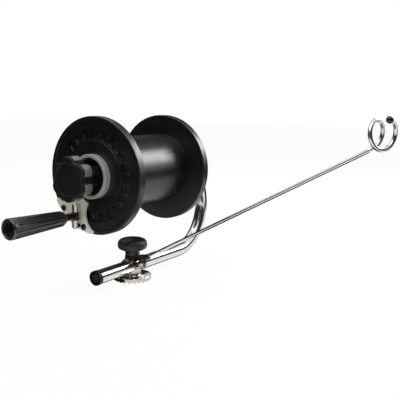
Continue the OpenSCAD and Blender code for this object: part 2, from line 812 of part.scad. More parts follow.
module crank_spindle() {
    color("silver") on_handle() difference() {
        union() {
            translate([-knuckle_w / 2, 0, pin_h]) rotate([0, 90, 0]) cylinder(r = knuckle_r, h = knuckle_w);
            rod_z(neck_r, pin_h, grip_from - free_gap);
            rod_z(spindle_d / 2, pin_h, spindle_to + free_gap);
        }
        translate([-knuckle_w, 0, pin_h]) rotate([0, 90, 0])
            cylinder(r = pin_d / 2 + running_gap, h = 2 * knuckle_w);
        rod_z(grip_screw_d / 2 + seat_gap, spindle_to - 14, spindle_to + 1);
    }
}

module hand_grip() {
    lean = atan((grip_end_d - grip_root_d) / 2 / (grip_len - grip_taper));
    flute_r = 2.4;
    bore_r = spindle_d / 2 + running_gap;
    root_step = 4;
    end_bevel_w = 1.5;
    end_bevel_h = 2;
    flute_land = 2;
    flute_stop = 12;
    color([0.12, 0.12, 0.12]) on_handle() difference() {
        rotate_extrude() polygon([
            [bore_r, grip_from], [grip_root_d / 2 - root_step, grip_from],
            [grip_root_d / 2, grip_from + grip_taper], [grip_end_d / 2, grip_to - end_bevel_h],
            [grip_end_d / 2 - end_bevel_w, grip_to], [end_recess_r, grip_to],
            [end_recess_r, spindle_to], [bore_r, spindle_to]]);
        for (i = [0 : flute_count - 1])
            rotate([0, 0, 360 * (i + 0.5) / flute_count])
                translate([grip_root_d / 2 + flute_r - flute_depth, 0, grip_from + grip_taper + flute_land])
                    rotate([0, lean, 0])
                        cylinder(r = flute_r, h = grip_len - grip_taper - flute_land - flute_stop);
    }
}

module grip_washer() {
    color("silver") on_handle()
        ring(grip_screw_d / 2 + 0.2, end_recess_r - 1.5,
             spindle_to + free_gap, spindle_to + free_gap + grip_washer_t);
}

module grip_screw() {
    seat = spindle_to + free_gap + grip_washer_t;
    color("silver") on_handle() difference() {
        union() {
            rod_z(grip_screw_d / 2, spindle_to - 12, seat + 1);
            rod_z(grip_screw_d * 0.9, seat, seat + 2.8);
        }
        rod_z(grip_screw_d / 2 - 0.3, seat + 1.2, seat + 4, $fn = 6);
    }
}

// Clamp knob

module clamp_knob() {
    r = clamp_knob_d / 2;
    edge = clamp_head_h * 0.42;
    color([0.16, 0.16, 0.15]) difference() {
        union() {
            rod_z(clamp_stem_d / 2, washer_top_z + free_gap, stem_top_z + 2);
            rotate_extrude() intersection() {
                translate([0, stem_top_z]) union() {
                    square([r - edge, clamp_head_h]);
                    translate([r - edge, edge]) circle(edge);
                    translate([0, edge]) square([r, clamp_head_h - 2.2 * edge]);
                    translate([r - edge, clamp_head_h - 1.2 * edge]) circle(edge);
                }
                translate([0, clamp_top_z - 4 * r]) circle(4 * r, $fn = 128);
                translate([0, washer_top_z]) square([2 * r, 2 * clamp_top_z]);
            }
        }
        for (i = [0 : 5])
            rotate([0, 0, 60 * i + 15]) translate([r + finger_r - finger_depth, 0, stem_top_z - 1])
                cylinder(r = finger_r, h = clamp_head_h + 2);
        rod_z(clamp_insert_r, washer_top_z, washer_top_z + clamp_insert_h + free_gap);
    }
}

module clamp_knob_insert() {
    color("goldenrod")
        ring(shank_r + running_gap, clamp_insert_r - seat_gap,
             washer_top_z + free_gap, washer_top_z + clamp_insert_h);
}

// Guide rod

module guide_rod() {
    color("silver") wire(wire_path, rod_d, wire_sides);
}

module rod_swivel() {
    color([0.15, 0.15, 0.15]) difference() {
        union() {
            translate([pivot_x, 0, pivot_z - swivel_half]) cylinder(r = swivel_r, h = 2 * swivel_half);
            translate(pivot_p) rotate([0, 90 - rod_slope, 0]) cylinder(r = socket_r, h = socket_len);
        }
        translate([pivot_x, 0, ear_top_z - swivel_half])
            cylinder(r = pivot_d / 2 + running_gap, h = 4 * swivel_half + socket_len);
        translate([pivot_x, 0, swivel_top_z]) cylinder(r = bolt_head_r + free_gap, h = socket_len);
        translate(pivot_p) rotate([0, 90 - rod_slope, 0])
            translate([0, 0, rod_seat - seat_gap]) cylinder(r = rod_d / 2 + seat_gap, h = socket_len);
    }
}

module tip_ball() {
    turn = [0, acos(tip_dir.z), atan2(tip_dir.y, tip_dir.x)];
    color([0.05, 0.05, 0.05]) difference() {
        translate(tip_centre) sphere(d = ball_d);
        translate(tip_centre) rotate(turn)
            translate([0, 0, -ball_d]) cylinder(r = rod_d / 2 + seat_gap, h = ball_d + seat_gap);
    }
}

frame_tube();
tube_end_cap();
rosette();
clamp_saddle();
clamp_stud();
clamp_washer();
axle_plug();
brake_stud();
rear_collar();
collar_screw();
pivot_bolt();
pivot_nut();
drum();
near_flange();
far_flange();
tie_screws();
near_bush();
far_bush();
brake_cup();
cup_screws();
friction_disc();
crank_plate();
plate_screws();
hinge_pin();
crank_spindle();
grip_washer();
grip_screw();
hand_grip();
pressure_plate();
pressure_sleeve();
disc_springs();
brake_knob();
brake_knob_insert();
brake_knob_cap();
clamp_knob();
clamp_knob_insert();
guide_rod();
rod_swivel();
tip_ball();
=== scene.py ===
"""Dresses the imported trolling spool: smooth meshes, procedural materials, studio light, camera."""

import json
import math

import bmesh
import bpy
from mathutils import Matrix, Vector


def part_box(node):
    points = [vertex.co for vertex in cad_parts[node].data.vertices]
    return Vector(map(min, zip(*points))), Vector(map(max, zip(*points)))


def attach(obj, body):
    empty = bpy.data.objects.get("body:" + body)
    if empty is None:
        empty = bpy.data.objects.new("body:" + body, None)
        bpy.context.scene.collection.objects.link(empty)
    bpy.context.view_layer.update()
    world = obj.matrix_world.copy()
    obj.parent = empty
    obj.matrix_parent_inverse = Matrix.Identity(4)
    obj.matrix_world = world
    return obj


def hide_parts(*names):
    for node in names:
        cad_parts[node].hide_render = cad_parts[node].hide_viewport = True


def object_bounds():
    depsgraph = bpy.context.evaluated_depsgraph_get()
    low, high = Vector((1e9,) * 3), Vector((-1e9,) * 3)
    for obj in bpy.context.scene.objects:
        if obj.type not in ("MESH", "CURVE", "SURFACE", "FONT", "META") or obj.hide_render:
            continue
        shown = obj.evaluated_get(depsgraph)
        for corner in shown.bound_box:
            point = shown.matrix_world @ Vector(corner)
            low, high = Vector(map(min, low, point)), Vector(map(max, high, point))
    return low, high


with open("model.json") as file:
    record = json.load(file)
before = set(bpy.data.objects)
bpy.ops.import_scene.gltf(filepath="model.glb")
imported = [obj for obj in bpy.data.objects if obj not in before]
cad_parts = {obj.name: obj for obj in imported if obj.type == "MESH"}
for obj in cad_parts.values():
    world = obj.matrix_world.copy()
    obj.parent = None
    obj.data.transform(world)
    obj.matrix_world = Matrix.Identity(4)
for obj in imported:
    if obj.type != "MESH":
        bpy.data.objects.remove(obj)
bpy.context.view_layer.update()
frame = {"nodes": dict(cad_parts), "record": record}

# The record's material slot of each CAD node
SLOT_OF = {part["node"]: part["material_slot"] for part in frame["record"]["subparts"]}

MM = 0.001
QUARTER = math.pi / 2
ORIGIN = Vector((0, 0, 0))
ALONG_X = Vector((1, 0, 0))
ALONG_Y = Vector((0, 1, 0))
ALONG_Z = Vector((0, 0, 1))

# Points closer than this become one
WELD = 1e-6
# Play between pieces that seat in each other
FIT = 0.05 * MM
# Radius at which a turned piece is closed on its axis
CORE_R = 0.01 * MM


def box(node):
    lo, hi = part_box(node)
    return Vector(lo), Vector(hi)


# Frame tube: places and sizes, here and below from the frame where it gives them

TUBE_LO, TUBE_HI = box("frame_tube")
TUBE_R = TUBE_HI.x
TUBE_WALL = 1.5 * MM
LEG_Z = TUBE_LO.z + TUBE_R
AXIS_Z = TUBE_HI.z - TUBE_R
BEND_R = (AXIS_Z - LEG_Z) / 2
BEND_Y = TUBE_HI.y - TUBE_R - BEND_R
BEND_CENTRE = Vector((0, BEND_Y, LEG_Z + BEND_R))
FRONT_Y = TUBE_LO.y
PLUG_HEAD_T = 2.5 * MM
AXLE_END_Y = box("axle_plug")[0].y + PLUG_HEAD_T

# Spool

FLANGE_R = box("near_flange")[1].x
NEAR_Y = box("near_flange")[0].y
FAR_Y = box("far_flange")[1].y
RIM_W = 12 * MM
RIM_T = 5 * MM
RIM_ROUND = 1 * MM
WEB_STEP = 1.5 * MM
POCKETS = 24
POCKET_IN_R = 50 * MM
POCKET_OUT_R = 62 * MM
POCKET_DEPTH = 3 * MM
RIB_W = 2 * MM
BUSH_R = 13.05 * MM
DRUM_FILLET = 1.5 * MM
DRUM_R = box("drum")[1].x - DRUM_FILLET
DRUM_WALL = 4 * MM
ANCHOR_TILT = math.radians(33)
ANCHOR_Y = 47 * MM
ANCHOR_R = 2 * MM
TIE_SCREWS = 4
TIE_RING_R = 34 * MM
TIE_TURN = math.radians(45)
COUNTERBORE_R = 4.9 * MM
COUNTERBORE_DEPTH = 6 * MM

# Brake

CUP_LO, CUP_HI = box("brake_cup")
CUP_R = CUP_HI.x
CUP_WALL = 4.5 * MM
CUP_FLOOR = 3 * MM
KNOB_LO, KNOB_HI = box("brake_knob")
CAP_LO, CAP_HI = box("brake_knob_cap")
LOBES = 6
LOBE_R = 10 * MM
LOBE_AT = 19.5 * MM
LOBE_TURN = math.radians(30)
NOTCH_R = 26.2 * MM
STAR_CORE_R = 24 * MM
STAR_SAMPLES = 360

# Crank

CRANK_AZ = math.radians(31)
CRANK_R = 62 * MM
CRANK_V = -5.5 * MM
OUT_OF_FACE = Vector((0, -1, 0))
PLATE_T = 2.5 * MM
PLATE_HALF_W = 39 * MM
PLATE_IN_U = 37 * MM
NECK_HALF_W = 11 * MM
PLATE_SCREW_U = 70 * MM
PLATE_SCREW_V = 22 * MM
HINGE_TURN = math.radians(-31)
HINGE_EAR_R = 4.8 * MM
EAR_T = 10 * MM
EAR_GAP = 0.3 * MM
PIN_H = 8.3 * MM
PIN_R = 2.5 * MM
KNUCKLE_W = 11 * MM
NECK_R = 5 * MM
SPINDLE_R = 4 * MM
GRIP_LO, GRIP_HI = box("hand_grip")
GRIP_AXIS = (GRIP_LO + GRIP_HI) / 2
GRIP_ROOT_R = 10.5 * MM
GRIP_TAPER = 8 * MM
GRIP_END_R = GRIP_HI.x - GRIP_AXIS.x
FLUTES = 12

# Clamp and swing pivot

CLAMP_LO, CLAMP_HI = box("clamp_knob")
CLAMP_R = 21.75 * MM
CLAMP_STEM_R = 10.75 * MM
CLAMP_HEAD_H = 18.5 * MM
CLAMP_BORE_R = 4.2 * MM
FINGERS = 6
FINGER_R = 12 * MM
FINGER_DEPTH = 0.7 * MM
FINGER_TURN = math.radians(15)
SADDLE_EAR_T = 4 * MM
ROSETTE_R = box("rosette")[1].x
ROSETTE_T = 4 * MM
TEETH = 24
TOOTH_H = 3 * MM
TOOTH_LEN = 9 * MM
TOOTH_FLAT = 1 * MM
PIVOT = Vector((19, 0, 32.5)) * MM
PIVOT_BORE_R = 3.05 * MM
SOCKET_LEN = 15 * MM

# Guide rod

ROD_R = 2.5 * MM
ROD_SLOPE = math.radians(28.8)
ROD_RUN = Vector((math.cos(ROD_SLOPE), 0, math.sin(ROD_SLOPE)))
ROD_LEN = 361 * MM
ROD_SEAT = 6.85 * MM
LOOP_R = 16.4 * MM
LOOP_PITCH = 16.7 * MM
LOOP_YAW = math.radians(20)
LOOP_FROM = -71
LOOP_TO = 440
LOOP_STEP = 4
LOOP_ENTRY = Vector((11.5, 3.2, 7.6)) * MM
BLEND_PULL = 6 * MM
BALL_R = 4.2 * MM

# Series, angles and places


def spread(a, b, parts):
    """Equal steps from a to b, both ends included."""
    return [a + (b - a) * k / parts for k in range(parts + 1)]


def turns(count):
    """Angles of equal steps once round."""
    return [math.tau * k / count for k in range(count)]


def arc(turn, steps):
    """Cosine and sine at equal steps from the angle 0 to turn."""
    return [(math.cos(turn * k / steps), math.sin(turn * k / steps)) for k in range(steps + 1)]


def smoothstep(a, b, x):
    t = max(0.0, min(1.0, (x - a) / (b - a)))
    return t * t * (3 - 2 * t)


def upright_place(centre):
    """Places a shape turned about an upright axis, its heights along +Z."""
    return lambda x, y, along: Vector((centre.x + x, centre.y + y, along))


def along_y_place(centre):
    """Places a shape turned about an axis along Y, its heights along +Y."""
    return lambda x, y, along: Vector((centre.x + x, along, centre.z + y))


def axis_place(origin, direction):
    """Places a turned shape on an axis through the origin, its heights measured from there."""
    side = direction.orthogonal().normalized()
    other = direction.cross(side)
    return lambda x, y, along: origin + side * x + other * y + direction * along


spool_place = along_y_place(Vector((0, 0, AXIS_Z)))
leg_place = along_y_place(Vector((0, 0, LEG_Z)))
clamp_place = upright_place(ORIGIN)
pivot_place = upright_place(PIVOT)


# Shapes, each a pair of points and faces


def skin(rings, closed):
    """Faces between rings of equal length; a closed skin joins its last ring to its first."""
    faces = []
    count = len(rings[0])
    verts = [v for row in rings for v in row]
    last = len(rings) if closed else len(rings) - 1
    for i in range(last):
        a = i * count
        b = (i + 1) % len(rings) * count
        for k in range(count):
            k2 = (k + 1) % count
            faces.append((a + k, a + k2, b + k2, b + k))
    if not closed:
        faces.append(tuple(range(count)))
        faces.append(tuple(range((len(rings) - 1) * count, len(rings) * count)))
    return verts, faces


def prism(outline, place, low, high):
    """A closed solid over an outline of (x, y) points, between two heights."""
    return skin([[place(x, y, h) for x, y in outline] for h in (low, high)], False)


def steady(value):
    """The same value at every angle."""
    return lambda t: value


def ring(r, h):
    """A row of polar that is a level circle."""
    return steady(r), steady(h)


def polar(rows, angles, place):
    """A closed skin from rows of (radius of the angle, height of the angle) functions."""
    rings = []
    for radius, height in rows:
        rings.append([place(radius(t) * math.cos(t), radius(t) * math.sin(t), height(t)) for t in angles])
    return skin(rings, True)


def lathe(profile, place, segments):
    """A closed profile of (radius, height) turned about an axis."""
    return polar([ring(r, h) for r, h in profile], turns(segments), place)


def rounded(points, radii, steps=5):
    """A closed outline with each corner rounded by its own radius."""
    out = []
    count = len(points)
    for i, (x, y) in enumerate(points):
        p = Vector((x, y))
        r = radii[i]
        if r == 0:
            out.append((p.x, p.y))
            continue
        before = (Vector(points[i - 1]) - p).normalized()
        after = (Vector(points[(i + 1) % count]) - p).normalized()
        half = math.acos(max(-1, min(1, before.dot(after)))) / 2
        reach = r / math.tan(half)
        centre = p + (before + after).normalized() * (r / math.sin(half))
        a = p + before * reach - centre
        b = p + after * reach - centre
        turn = a.angle_signed(b)
        for k in range(steps + 1):
            q = centre + Matrix.Rotation(-turn * k / steps, 2) @ a
            out.append((q.x, q.y))
    return out


def circle(centre, side, up, r, sides):
    return [centre + (side * math.cos(t) + up * math.sin(t)) * r for t in turns(sides)]


def sweep(stations, sides):
    """A round skin along stations of (point, radius), its side vectors carried without twist."""
    same = 1e-7
    straight = 1e-4
    rings = []
    points = [p for p, _ in stations]
    side = ALONG_X
    for i, (p, r) in enumerate(stations):
        ahead = next((q for q in points[i + 1:] if (q - p).length > same), p)
        behind = next((q for q in reversed(points[:i]) if (q - p).length > same), p)
        direction = (ahead - behind).normalized()
        side = side - direction * side.dot(direction)
        if side.length < straight:
            side = direction.orthogonal()
        side.normalize()
        rings.append(circle(p, side, direction.cross(side), r, sides))
    return skin(rings, False)


def rod(start, end, r, sides):
    """A straight round bar, to cut or to add."""
    return sweep([(start, r), (end, r)], sides)


# Meshes and pieces


def add_object(name, data):
    obj = bpy.data.objects.new(name, data)
    bpy.context.scene.collection.objects.link(obj)
    return obj


def clean(mesh, sharp=35):
    """Joins doubles, turns the faces outwards, and shades smooth all but the sharp edges."""
    bm = bmesh.new()
    bm.from_mesh(mesh)
    bmesh.ops.remove_doubles(bm, verts=bm.verts, dist=WELD)
    bmesh.ops.recalc_face_normals(bm, faces=bm.faces)
    for face in bm.faces:
        face.smooth = True
    for edge in bm.edges:
        if len(edge.link_faces) == 2:
            edge.smooth = edge.calc_face_angle(0) < math.radians(sharp)
    bm.to_mesh(mesh)
    bm.free()


def solid_mesh(shape):
    verts, faces = shape
    mesh = bpy.data.meshes.new("solid")
    mesh.from_pydata([tuple(v) for v in verts], [], faces)
    clean(mesh)
    return mesh


def joined(shape, add, cut):
    """One mesh from shapes that overlap: the first with some added and some cut away."""
    base = add_object("base", solid_mesh(shape))
    for operation, others in (("UNION", add), ("DIFFERENCE", cut)):
        for other in others:
            tool = add_object("tool", solid_mesh(other))
            mod = base.modifiers.new("join", "BOOLEAN")
            mod.operation = operation
            mod.solver = "EXACT"
            mod.object = tool
            bpy.context.view_layer.update()
            deps = bpy.context.evaluated_depsgraph_get()
            base.data = bpy.data.meshes.new_from_object(base.evaluated_get(deps))
            base.modifiers.clear()
            bpy.data.objects.remove(tool)
    result = base.data
    bpy.data.objects.remove(base)
    return result


def piece(name, shape, body, node, add=(), cut=(), look=None, sharp=35):
    """A mesh object that rides on a body and stands for a CAD node.

    It is a shape with others added and cut away, in the finish of the node's slot or a look of its own."""
    slot = SLOT_OF[node]
    mesh = joined(shape, add, cut)
    clean(mesh, sharp)
    mesh.name = name
    mesh.materials.append(FINISHES[slot] if look is None else look)
    obj = add_object(name, mesh)
    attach(obj, body)
    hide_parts(node)
    return obj


def bevel(obj, width, segments=3, angle=40):
    mod = obj.modifiers.new("edge", "BEVEL")
    mod.width = width
    mod.segments = segments
    mod.limit_method = "ANGLE"
    mod.angle_limit = math.radians(angle)
    mod.harden_normals = False


# Materials

# Heights between which painted light turns the crank plate's lower wing paler
PAINTED_LIGHT_FROM_Z = 94 * MM
PAINTED_LIGHT_TO_Z = 106 * MM


def add_node(tree, kind, **inputs):
    node = tree.nodes.new(kind)
    for key, value in inputs.items():
        node.inputs[key].default_value = value
    return node


def math_node(tree, operation, first, second):
    """A math node on two sockets, or on a socket and a number."""
    node = tree.nodes.new("ShaderNodeMath")
    node.operation = operation
    tree.links.new(first, node.inputs[0])
    if isinstance(second, float):
        node.inputs[1].default_value = second
    else:
        tree.links.new(second, node.inputs[1])
    return node.outputs["Value"]


class Nodes:
    """A material's node tree, with short calls to add and link nodes."""

    def __init__(self, name):
        self.material = bpy.data.materials.new(name)
        self.material.use_nodes = True
        self.tree = self.material.node_tree
        self.shader = self.tree.nodes["Principled BSDF"]
        self.coords = self.add("ShaderNodeTexCoord").outputs["Object"]

    def add(self, kind, **inputs):
        return add_node(self.tree, kind, **inputs)

    def link(self, out, into):
        self.tree.links.new(out, into)

    def apart(self):
        """The place's X, Y and Z, each on its own."""
        node = self.add("ShaderNodeSeparateXYZ")
        self.link(self.coords, node.inputs["Vector"])
        return node.outputs

    def noise(self, scale, detail, stretch=(1, 1, 1)):
        mapping = self.add("ShaderNodeMapping", Scale=stretch)
        self.link(self.coords, mapping.inputs["Vector"])
        tex = self.add("ShaderNodeTexNoise", Scale=scale, Detail=detail)
        self.link(mapping.outputs["Vector"], tex.inputs["Vector"])
        return tex.outputs["Fac"]

    def ramp(self, fac, low, high, start=0.3, end=0.7):
        """A colour that runs from low to high between two levels of a texture."""
        node = self.add("ShaderNodeValToRGB")
        for element, position, colour in zip(node.color_ramp.elements, (start, end), (low, high)):
            element.position = position
            element.color = (*colour, 1)
        self.link(fac, node.inputs["Fac"])
        return node.outputs["Color"]

    def span(self, fac, low, high, start=0.3, end=0.7):
        """A number that runs from low to high between two levels of another."""
        node = self.add("ShaderNodeMapRange", **{
            "From Min": start, "From Max": end, "To Min": low, "To Max": high})
        self.link(fac, node.inputs["Value"])
        return node.outputs["Result"]

    def mix(self, fac, first, second):
        node = self.add("ShaderNodeMixRGB")
        self.link(fac, node.inputs["Fac"])
        self.link(first, node.inputs["Color1"])
        self.link(second, node.inputs["Color2"])
        return node.outputs["Color"]

    def painted_light_below(self, tint, pale, low, high):
        """A tint that runs to a paler one from the height high down to low: painted light on the lower
        part.
        """
        node = self.add("ShaderNodeMixRGB", Color2=(*pale, 1))
        self.link(self.span(self.apart()["Z"], 1.0, 0.0, low, high), node.inputs["Fac"])
        self.link(tint, node.inputs["Color1"])
        return node.outputs["Color"]

    def bump(self, height, strength, distance):
        node = self.add("ShaderNodeBump", Strength=strength, Distance=distance)
        self.link(height, node.inputs["Height"])
        return node.outputs["Normal"]

    def finish(self, tint, roughness, normal, **numbers):
        """Links the shader's textures and sets its plain numbers, named with _ for a blank."""
        for key, out in (("Base Color", tint), ("Roughness", roughness), ("Normal", normal)):
            self.link(out, self.shader.inputs[key])
        for key, value in numbers.items():
            self.shader.inputs[key.replace("_", " ")].default_value = value
        return self.material


def plastic(name, low, high, rough, grain, grain_bump, specular=0.5, coat=0.0):
    """Moulded plastic: slow colour drift, fine grain, and roughness that varies with handling."""
    n = Nodes(name)
    drift = n.noise(scale=35, detail=5)
    fine = n.noise(scale=grain, detail=3)
    return n.finish(
        n.ramp(drift, low, high), n.span(drift, *rough), n.bump(fine, grain_bump, distance=0.2 * MM),
        Specular_IOR_Level=specular, Coat_Weight=coat, Coat_Roughness=0.12)


def metal(name, low, high, rough, line_bump, stretch=(1, 1, 1), marks=60, metallic=1.0, pale=None):
    """Bright metal: slight tint drift, polishing lines and faint smears in the roughness."""
    n = Nodes(name)
    smears = n.noise(scale=marks, detail=5)
    lines = n.noise(scale=900, detail=2, stretch=stretch)
    tint = n.ramp(smears, low, high)
    # A pale tint here is painted light: the metal turns paler towards the bottom
    if pale:
        tint = n.painted_light_below(tint, pale, PAINTED_LIGHT_FROM_Z, PAINTED_LIGHT_TO_Z)
    return n.finish(
        tint, n.span(smears, *rough), n.bump(lines, line_bump, distance=0.1 * MM), Metallic=metallic)


def turned(name, low, high, rough, line_bump, metallic, painted_shade_within=0.0):
    """Matte metal turned about the spool axis: fine rings that follow the radius.

    Inside the given radius the colour is painted shade: near black and not metallic."""
    n = Nodes(name)
    place = n.apart()
    flat = n.add("ShaderNodeCombineXYZ")
    n.link(place["X"], flat.inputs["X"])
    n.link(math_node(n.tree, "SUBTRACT", place["Z"], AXIS_Z), flat.inputs["Y"])
    radius = n.add("ShaderNodeVectorMath")
    radius.operation = "LENGTH"
    n.link(flat.outputs["Vector"], radius.inputs[0])
    rings = n.add("ShaderNodeTexNoise", Scale=2500.0, Detail=3.0)
    rings.noise_dimensions = "1D"
    n.link(radius.outputs["Value"], rings.inputs["W"])
    drift = n.noise(scale=45, detail=5)
    tint = n.ramp(drift, low, high)
    if painted_shade_within:
        fade = 0.3 * MM
        outside_painted_shade = n.span(radius.outputs["Value"], 0.0, 1.0, painted_shade_within - fade, painted_shade_within + fade)
        # Painted shade: near-black colour, with no metal, inside that radius
        tint = n.mix(outside_painted_shade, n.ramp(drift, (0.004, 0.004, 0.004), (0.008, 0.008, 0.008)), tint)
        n.link(n.span(outside_painted_shade, 0.0, metallic, 0.0, 1.0), n.shader.inputs["Metallic"])
    else:
        n.shader.inputs["Metallic"].default_value = metallic
    lines = rings.outputs["Fac"]
    return n.finish(tint, n.span(lines, *rough), n.bump(lines, line_bump, distance=0.1 * MM))


POLISHED = metal(
    "polished_stainless", (0.70, 0.69, 0.67), (0.80, 0.79, 0.77), rough=(0.11, 0.18),
    line_bump=0.03, stretch=(1, 0.02, 1))
WIRE = metal(
    "drawn_stainless", (0.72, 0.71, 0.69), (0.82, 0.81, 0.79), rough=(0.20, 0.28),
    line_bump=0.03, stretch=(0.05, 1, 1))
BRIGHT = metal(
    "bright_steel", (0.50, 0.48, 0.44), (0.66, 0.64, 0.59), rough=(0.12, 0.24), line_bump=0.06, marks=140)
# The crank plate's lower wing is painted paler: painted light, not another finish
PLATE = metal(
    "plate_steel", (0.60, 0.585, 0.52), (0.76, 0.745, 0.67), rough=(0.32, 0.46),
    line_bump=0.10, marks=180, metallic=0.1, pale=(0.93, 0.92, 0.89))
DARK_STEEL = metal(
    "dark_steel", (0.045, 0.043, 0.04), (0.09, 0.086, 0.08), rough=(0.28, 0.45), line_bump=0.08, marks=150)
BRASS = metal(
    "brass", (0.62, 0.44, 0.16), (0.76, 0.58, 0.26), rough=(0.2, 0.35),
    line_bump=0.06, stretch=(1, 1, 0.05), marks=120)
ALUMINIUM = turned(
    "matte_aluminium", (0.40, 0.40, 0.385), (0.50, 0.50, 0.48), rough=(0.48, 0.62),
    line_bump=0.08, metallic=0.35)
# The knob body's notches, inside NOTCH_R, get painted shade
KNOB_METAL = turned(
    "knob_aluminium", (0.38, 0.38, 0.36), (0.48, 0.48, 0.46), rough=(0.42, 0.58),
    line_bump=0.08, metallic=0.85, painted_shade_within=NOTCH_R)
SPOOL = plastic(
    "spool_plastic", (0.0028, 0.0028, 0.0031), (0.0056, 0.0056, 0.0059), rough=(0.29, 0.38),
    grain=2600, grain_bump=0.08, specular=0.72)
BLACK = plastic(
    "black_plastic", (0.0055, 0.0055, 0.0054), (0.010, 0.010, 0.0096), rough=(0.40, 0.52),
    grain=3200, grain_bump=0.16, specular=0.35)
SOFT_BLACK = plastic(
    "soft_black_plastic", (0.020, 0.020, 0.0185), (0.032, 0.032, 0.030), rough=(0.34, 0.46),
    grain=3000, grain_bump=0.14)
SWIVEL = plastic(
    "swivel_plastic", (0.010, 0.010, 0.009), (0.022, 0.022, 0.019), rough=(0.28, 0.40),
    grain=2200, grain_bump=0.12)
GRIP = plastic(
    "grip_plastic", (0.014, 0.014, 0.0138), (0.026, 0.026, 0.0255), rough=(0.21, 0.25),
    grain=2800, grain_bump=0.02, specular=1.0)
GLOSS = plastic(
    "gloss_black", (0.003, 0.003, 0.003), (0.006, 0.006, 0.006), rough=(0.10, 0.18),
    grain=1500, grain_bump=0.03, coat=0.3)
BEARING = plastic(
    "bearing_plastic", (0.62, 0.58, 0.48), (0.74, 0.70, 0.60), rough=(0.4, 0.55),
    grain=2400, grain_bump=0.08)
LINING = plastic(
    "friction_lining", (0.055, 0.04, 0.03), (0.14, 0.105, 0.08), rough=(0.8, 0.95),
    grain=1400, grain_bump=0.45)

FINISHES = {
    "polished_stainless": POLISHED, "bright_steel": BRIGHT, "dark_steel": DARK_STEEL, "brass": BRASS,
    "matte_aluminium": ALUMINIUM, "spool_plastic": SPOOL, "black_plastic": BLACK, "grip_plastic": GRIP,
    "gloss_black": GLOSS, "bearing_plastic": BEARING, "friction_lining": LINING}


def dress_cad_nodes():
    """Gives each carried-over CAD node the finish of its slot in the record."""
    for node, slot in SLOT_OF.items():
        mesh = frame["nodes"][node].data
        finish = FINISHES[slot]
        if len(mesh.materials) == 0:
            mesh.materials.append(finish)
        for i in range(len(mesh.materials)):
            mesh.materials[i] = finish


# Frame tube and its cap


def build_frame_tube():
    lip = 0.3 * MM
    mouth_depth = 12 * MM
    inner = TUBE_R - TUBE_WALL

    def mouth(end):
        """Stations from inside the bore, round the tube's edge, to its outside."""
        return [(end + ALONG_Y * mouth_depth, inner), (end + ALONG_Y * lip, inner), (end, inner + lip),
                (end, TUBE_R - lip), (end + ALONG_Y * lip, TUBE_R)]

    def leg(start, end):
        return [(p, TUBE_R) for p in spread(start, end, 24)[1:-1]]

    low_end = Vector((0, FRONT_Y, LEG_Z))
    high_end = Vector((0, AXLE_END_Y, AXIS_Z))
    stations = mouth(low_end) + leg(low_end, Vector((0, BEND_Y, LEG_Z)))
    stations += [(BEND_CENTRE + Vector((0, s, -c)) * BEND_R, TUBE_R) for c, s in arc(math.pi, 64)]
    stations += leg(Vector((0, BEND_Y, AXIS_Z)), high_end) + mouth(high_end)[::-1]
    piece("bent_tube", tube_skin(stations), "frame", "frame_tube")


def tube_skin(stations):
    """Rings in planes that hold the X axis, so that mouths at the ends stay square."""
    rings = []
    for p, r in stations:
        if abs(p.z - LEG_Z) < WELD:
            out = -ALONG_Z
        elif abs(p.z - AXIS_Z) < WELD:
            out = ALONG_Z
        else:
            out = (p - BEND_CENTRE).normalized()
        rings.append(circle(p, ALONG_X, out, r, sides=64))
    return skin(rings, False)


def build_end_cap():
    """The push-in cap: a face on the tube's end and a hollow plug inside it."""
    lo, hi = box("tube_end_cap")
    plug = TUBE_R - TUBE_WALL - FIT
    inner = plug - 2 * MM
    floor = FRONT_Y + 1 * MM
    profile = rounded(
        [(CORE_R, lo.y), (hi.x, lo.y), (hi.x, FRONT_Y), (plug, FRONT_Y), (plug, hi.y), (inner, hi.y),
         (inner, floor), (CORE_R, floor)],
        [0, 0.5 * MM, 0.2 * MM, 0, 0.4 * MM, 0.2 * MM, 0.2 * MM, 0])
    shape = lathe(profile, leg_place, segments=96)
    piece("end_cap", shape, "frame", "tube_end_cap")


# Spool


def build_drum():
    """The barrel, eased into the flanges, with the small line anchor hole near the far one."""
    half = FAR_Y - RIM_W
    ease = 0.3 * MM
    inner = DRUM_R - DRUM_WALL
    curve = [(DRUM_R + ease - ease * s, -half + ease - ease * c) for c, s in arc(QUARTER, 8)]
    profile = curve + [(r, -h) for r, h in reversed(curve)] + [(inner, half), (inner, -half)]
    barrel = lathe(profile, spool_place, segments=192)
    middle = Vector((0, ANCHOR_Y, AXIS_Z))
    out = Vector((math.cos(ANCHOR_TILT), 0, math.sin(ANCHOR_TILT)))
    drill_from = 40 * MM
    drill_to = 60 * MM
    drill = rod(middle + out * drill_from, middle + out * drill_to, ANCHOR_R, sides=24)
    piece("drum_barrel", barrel, "spool", "drum", cut=[drill])


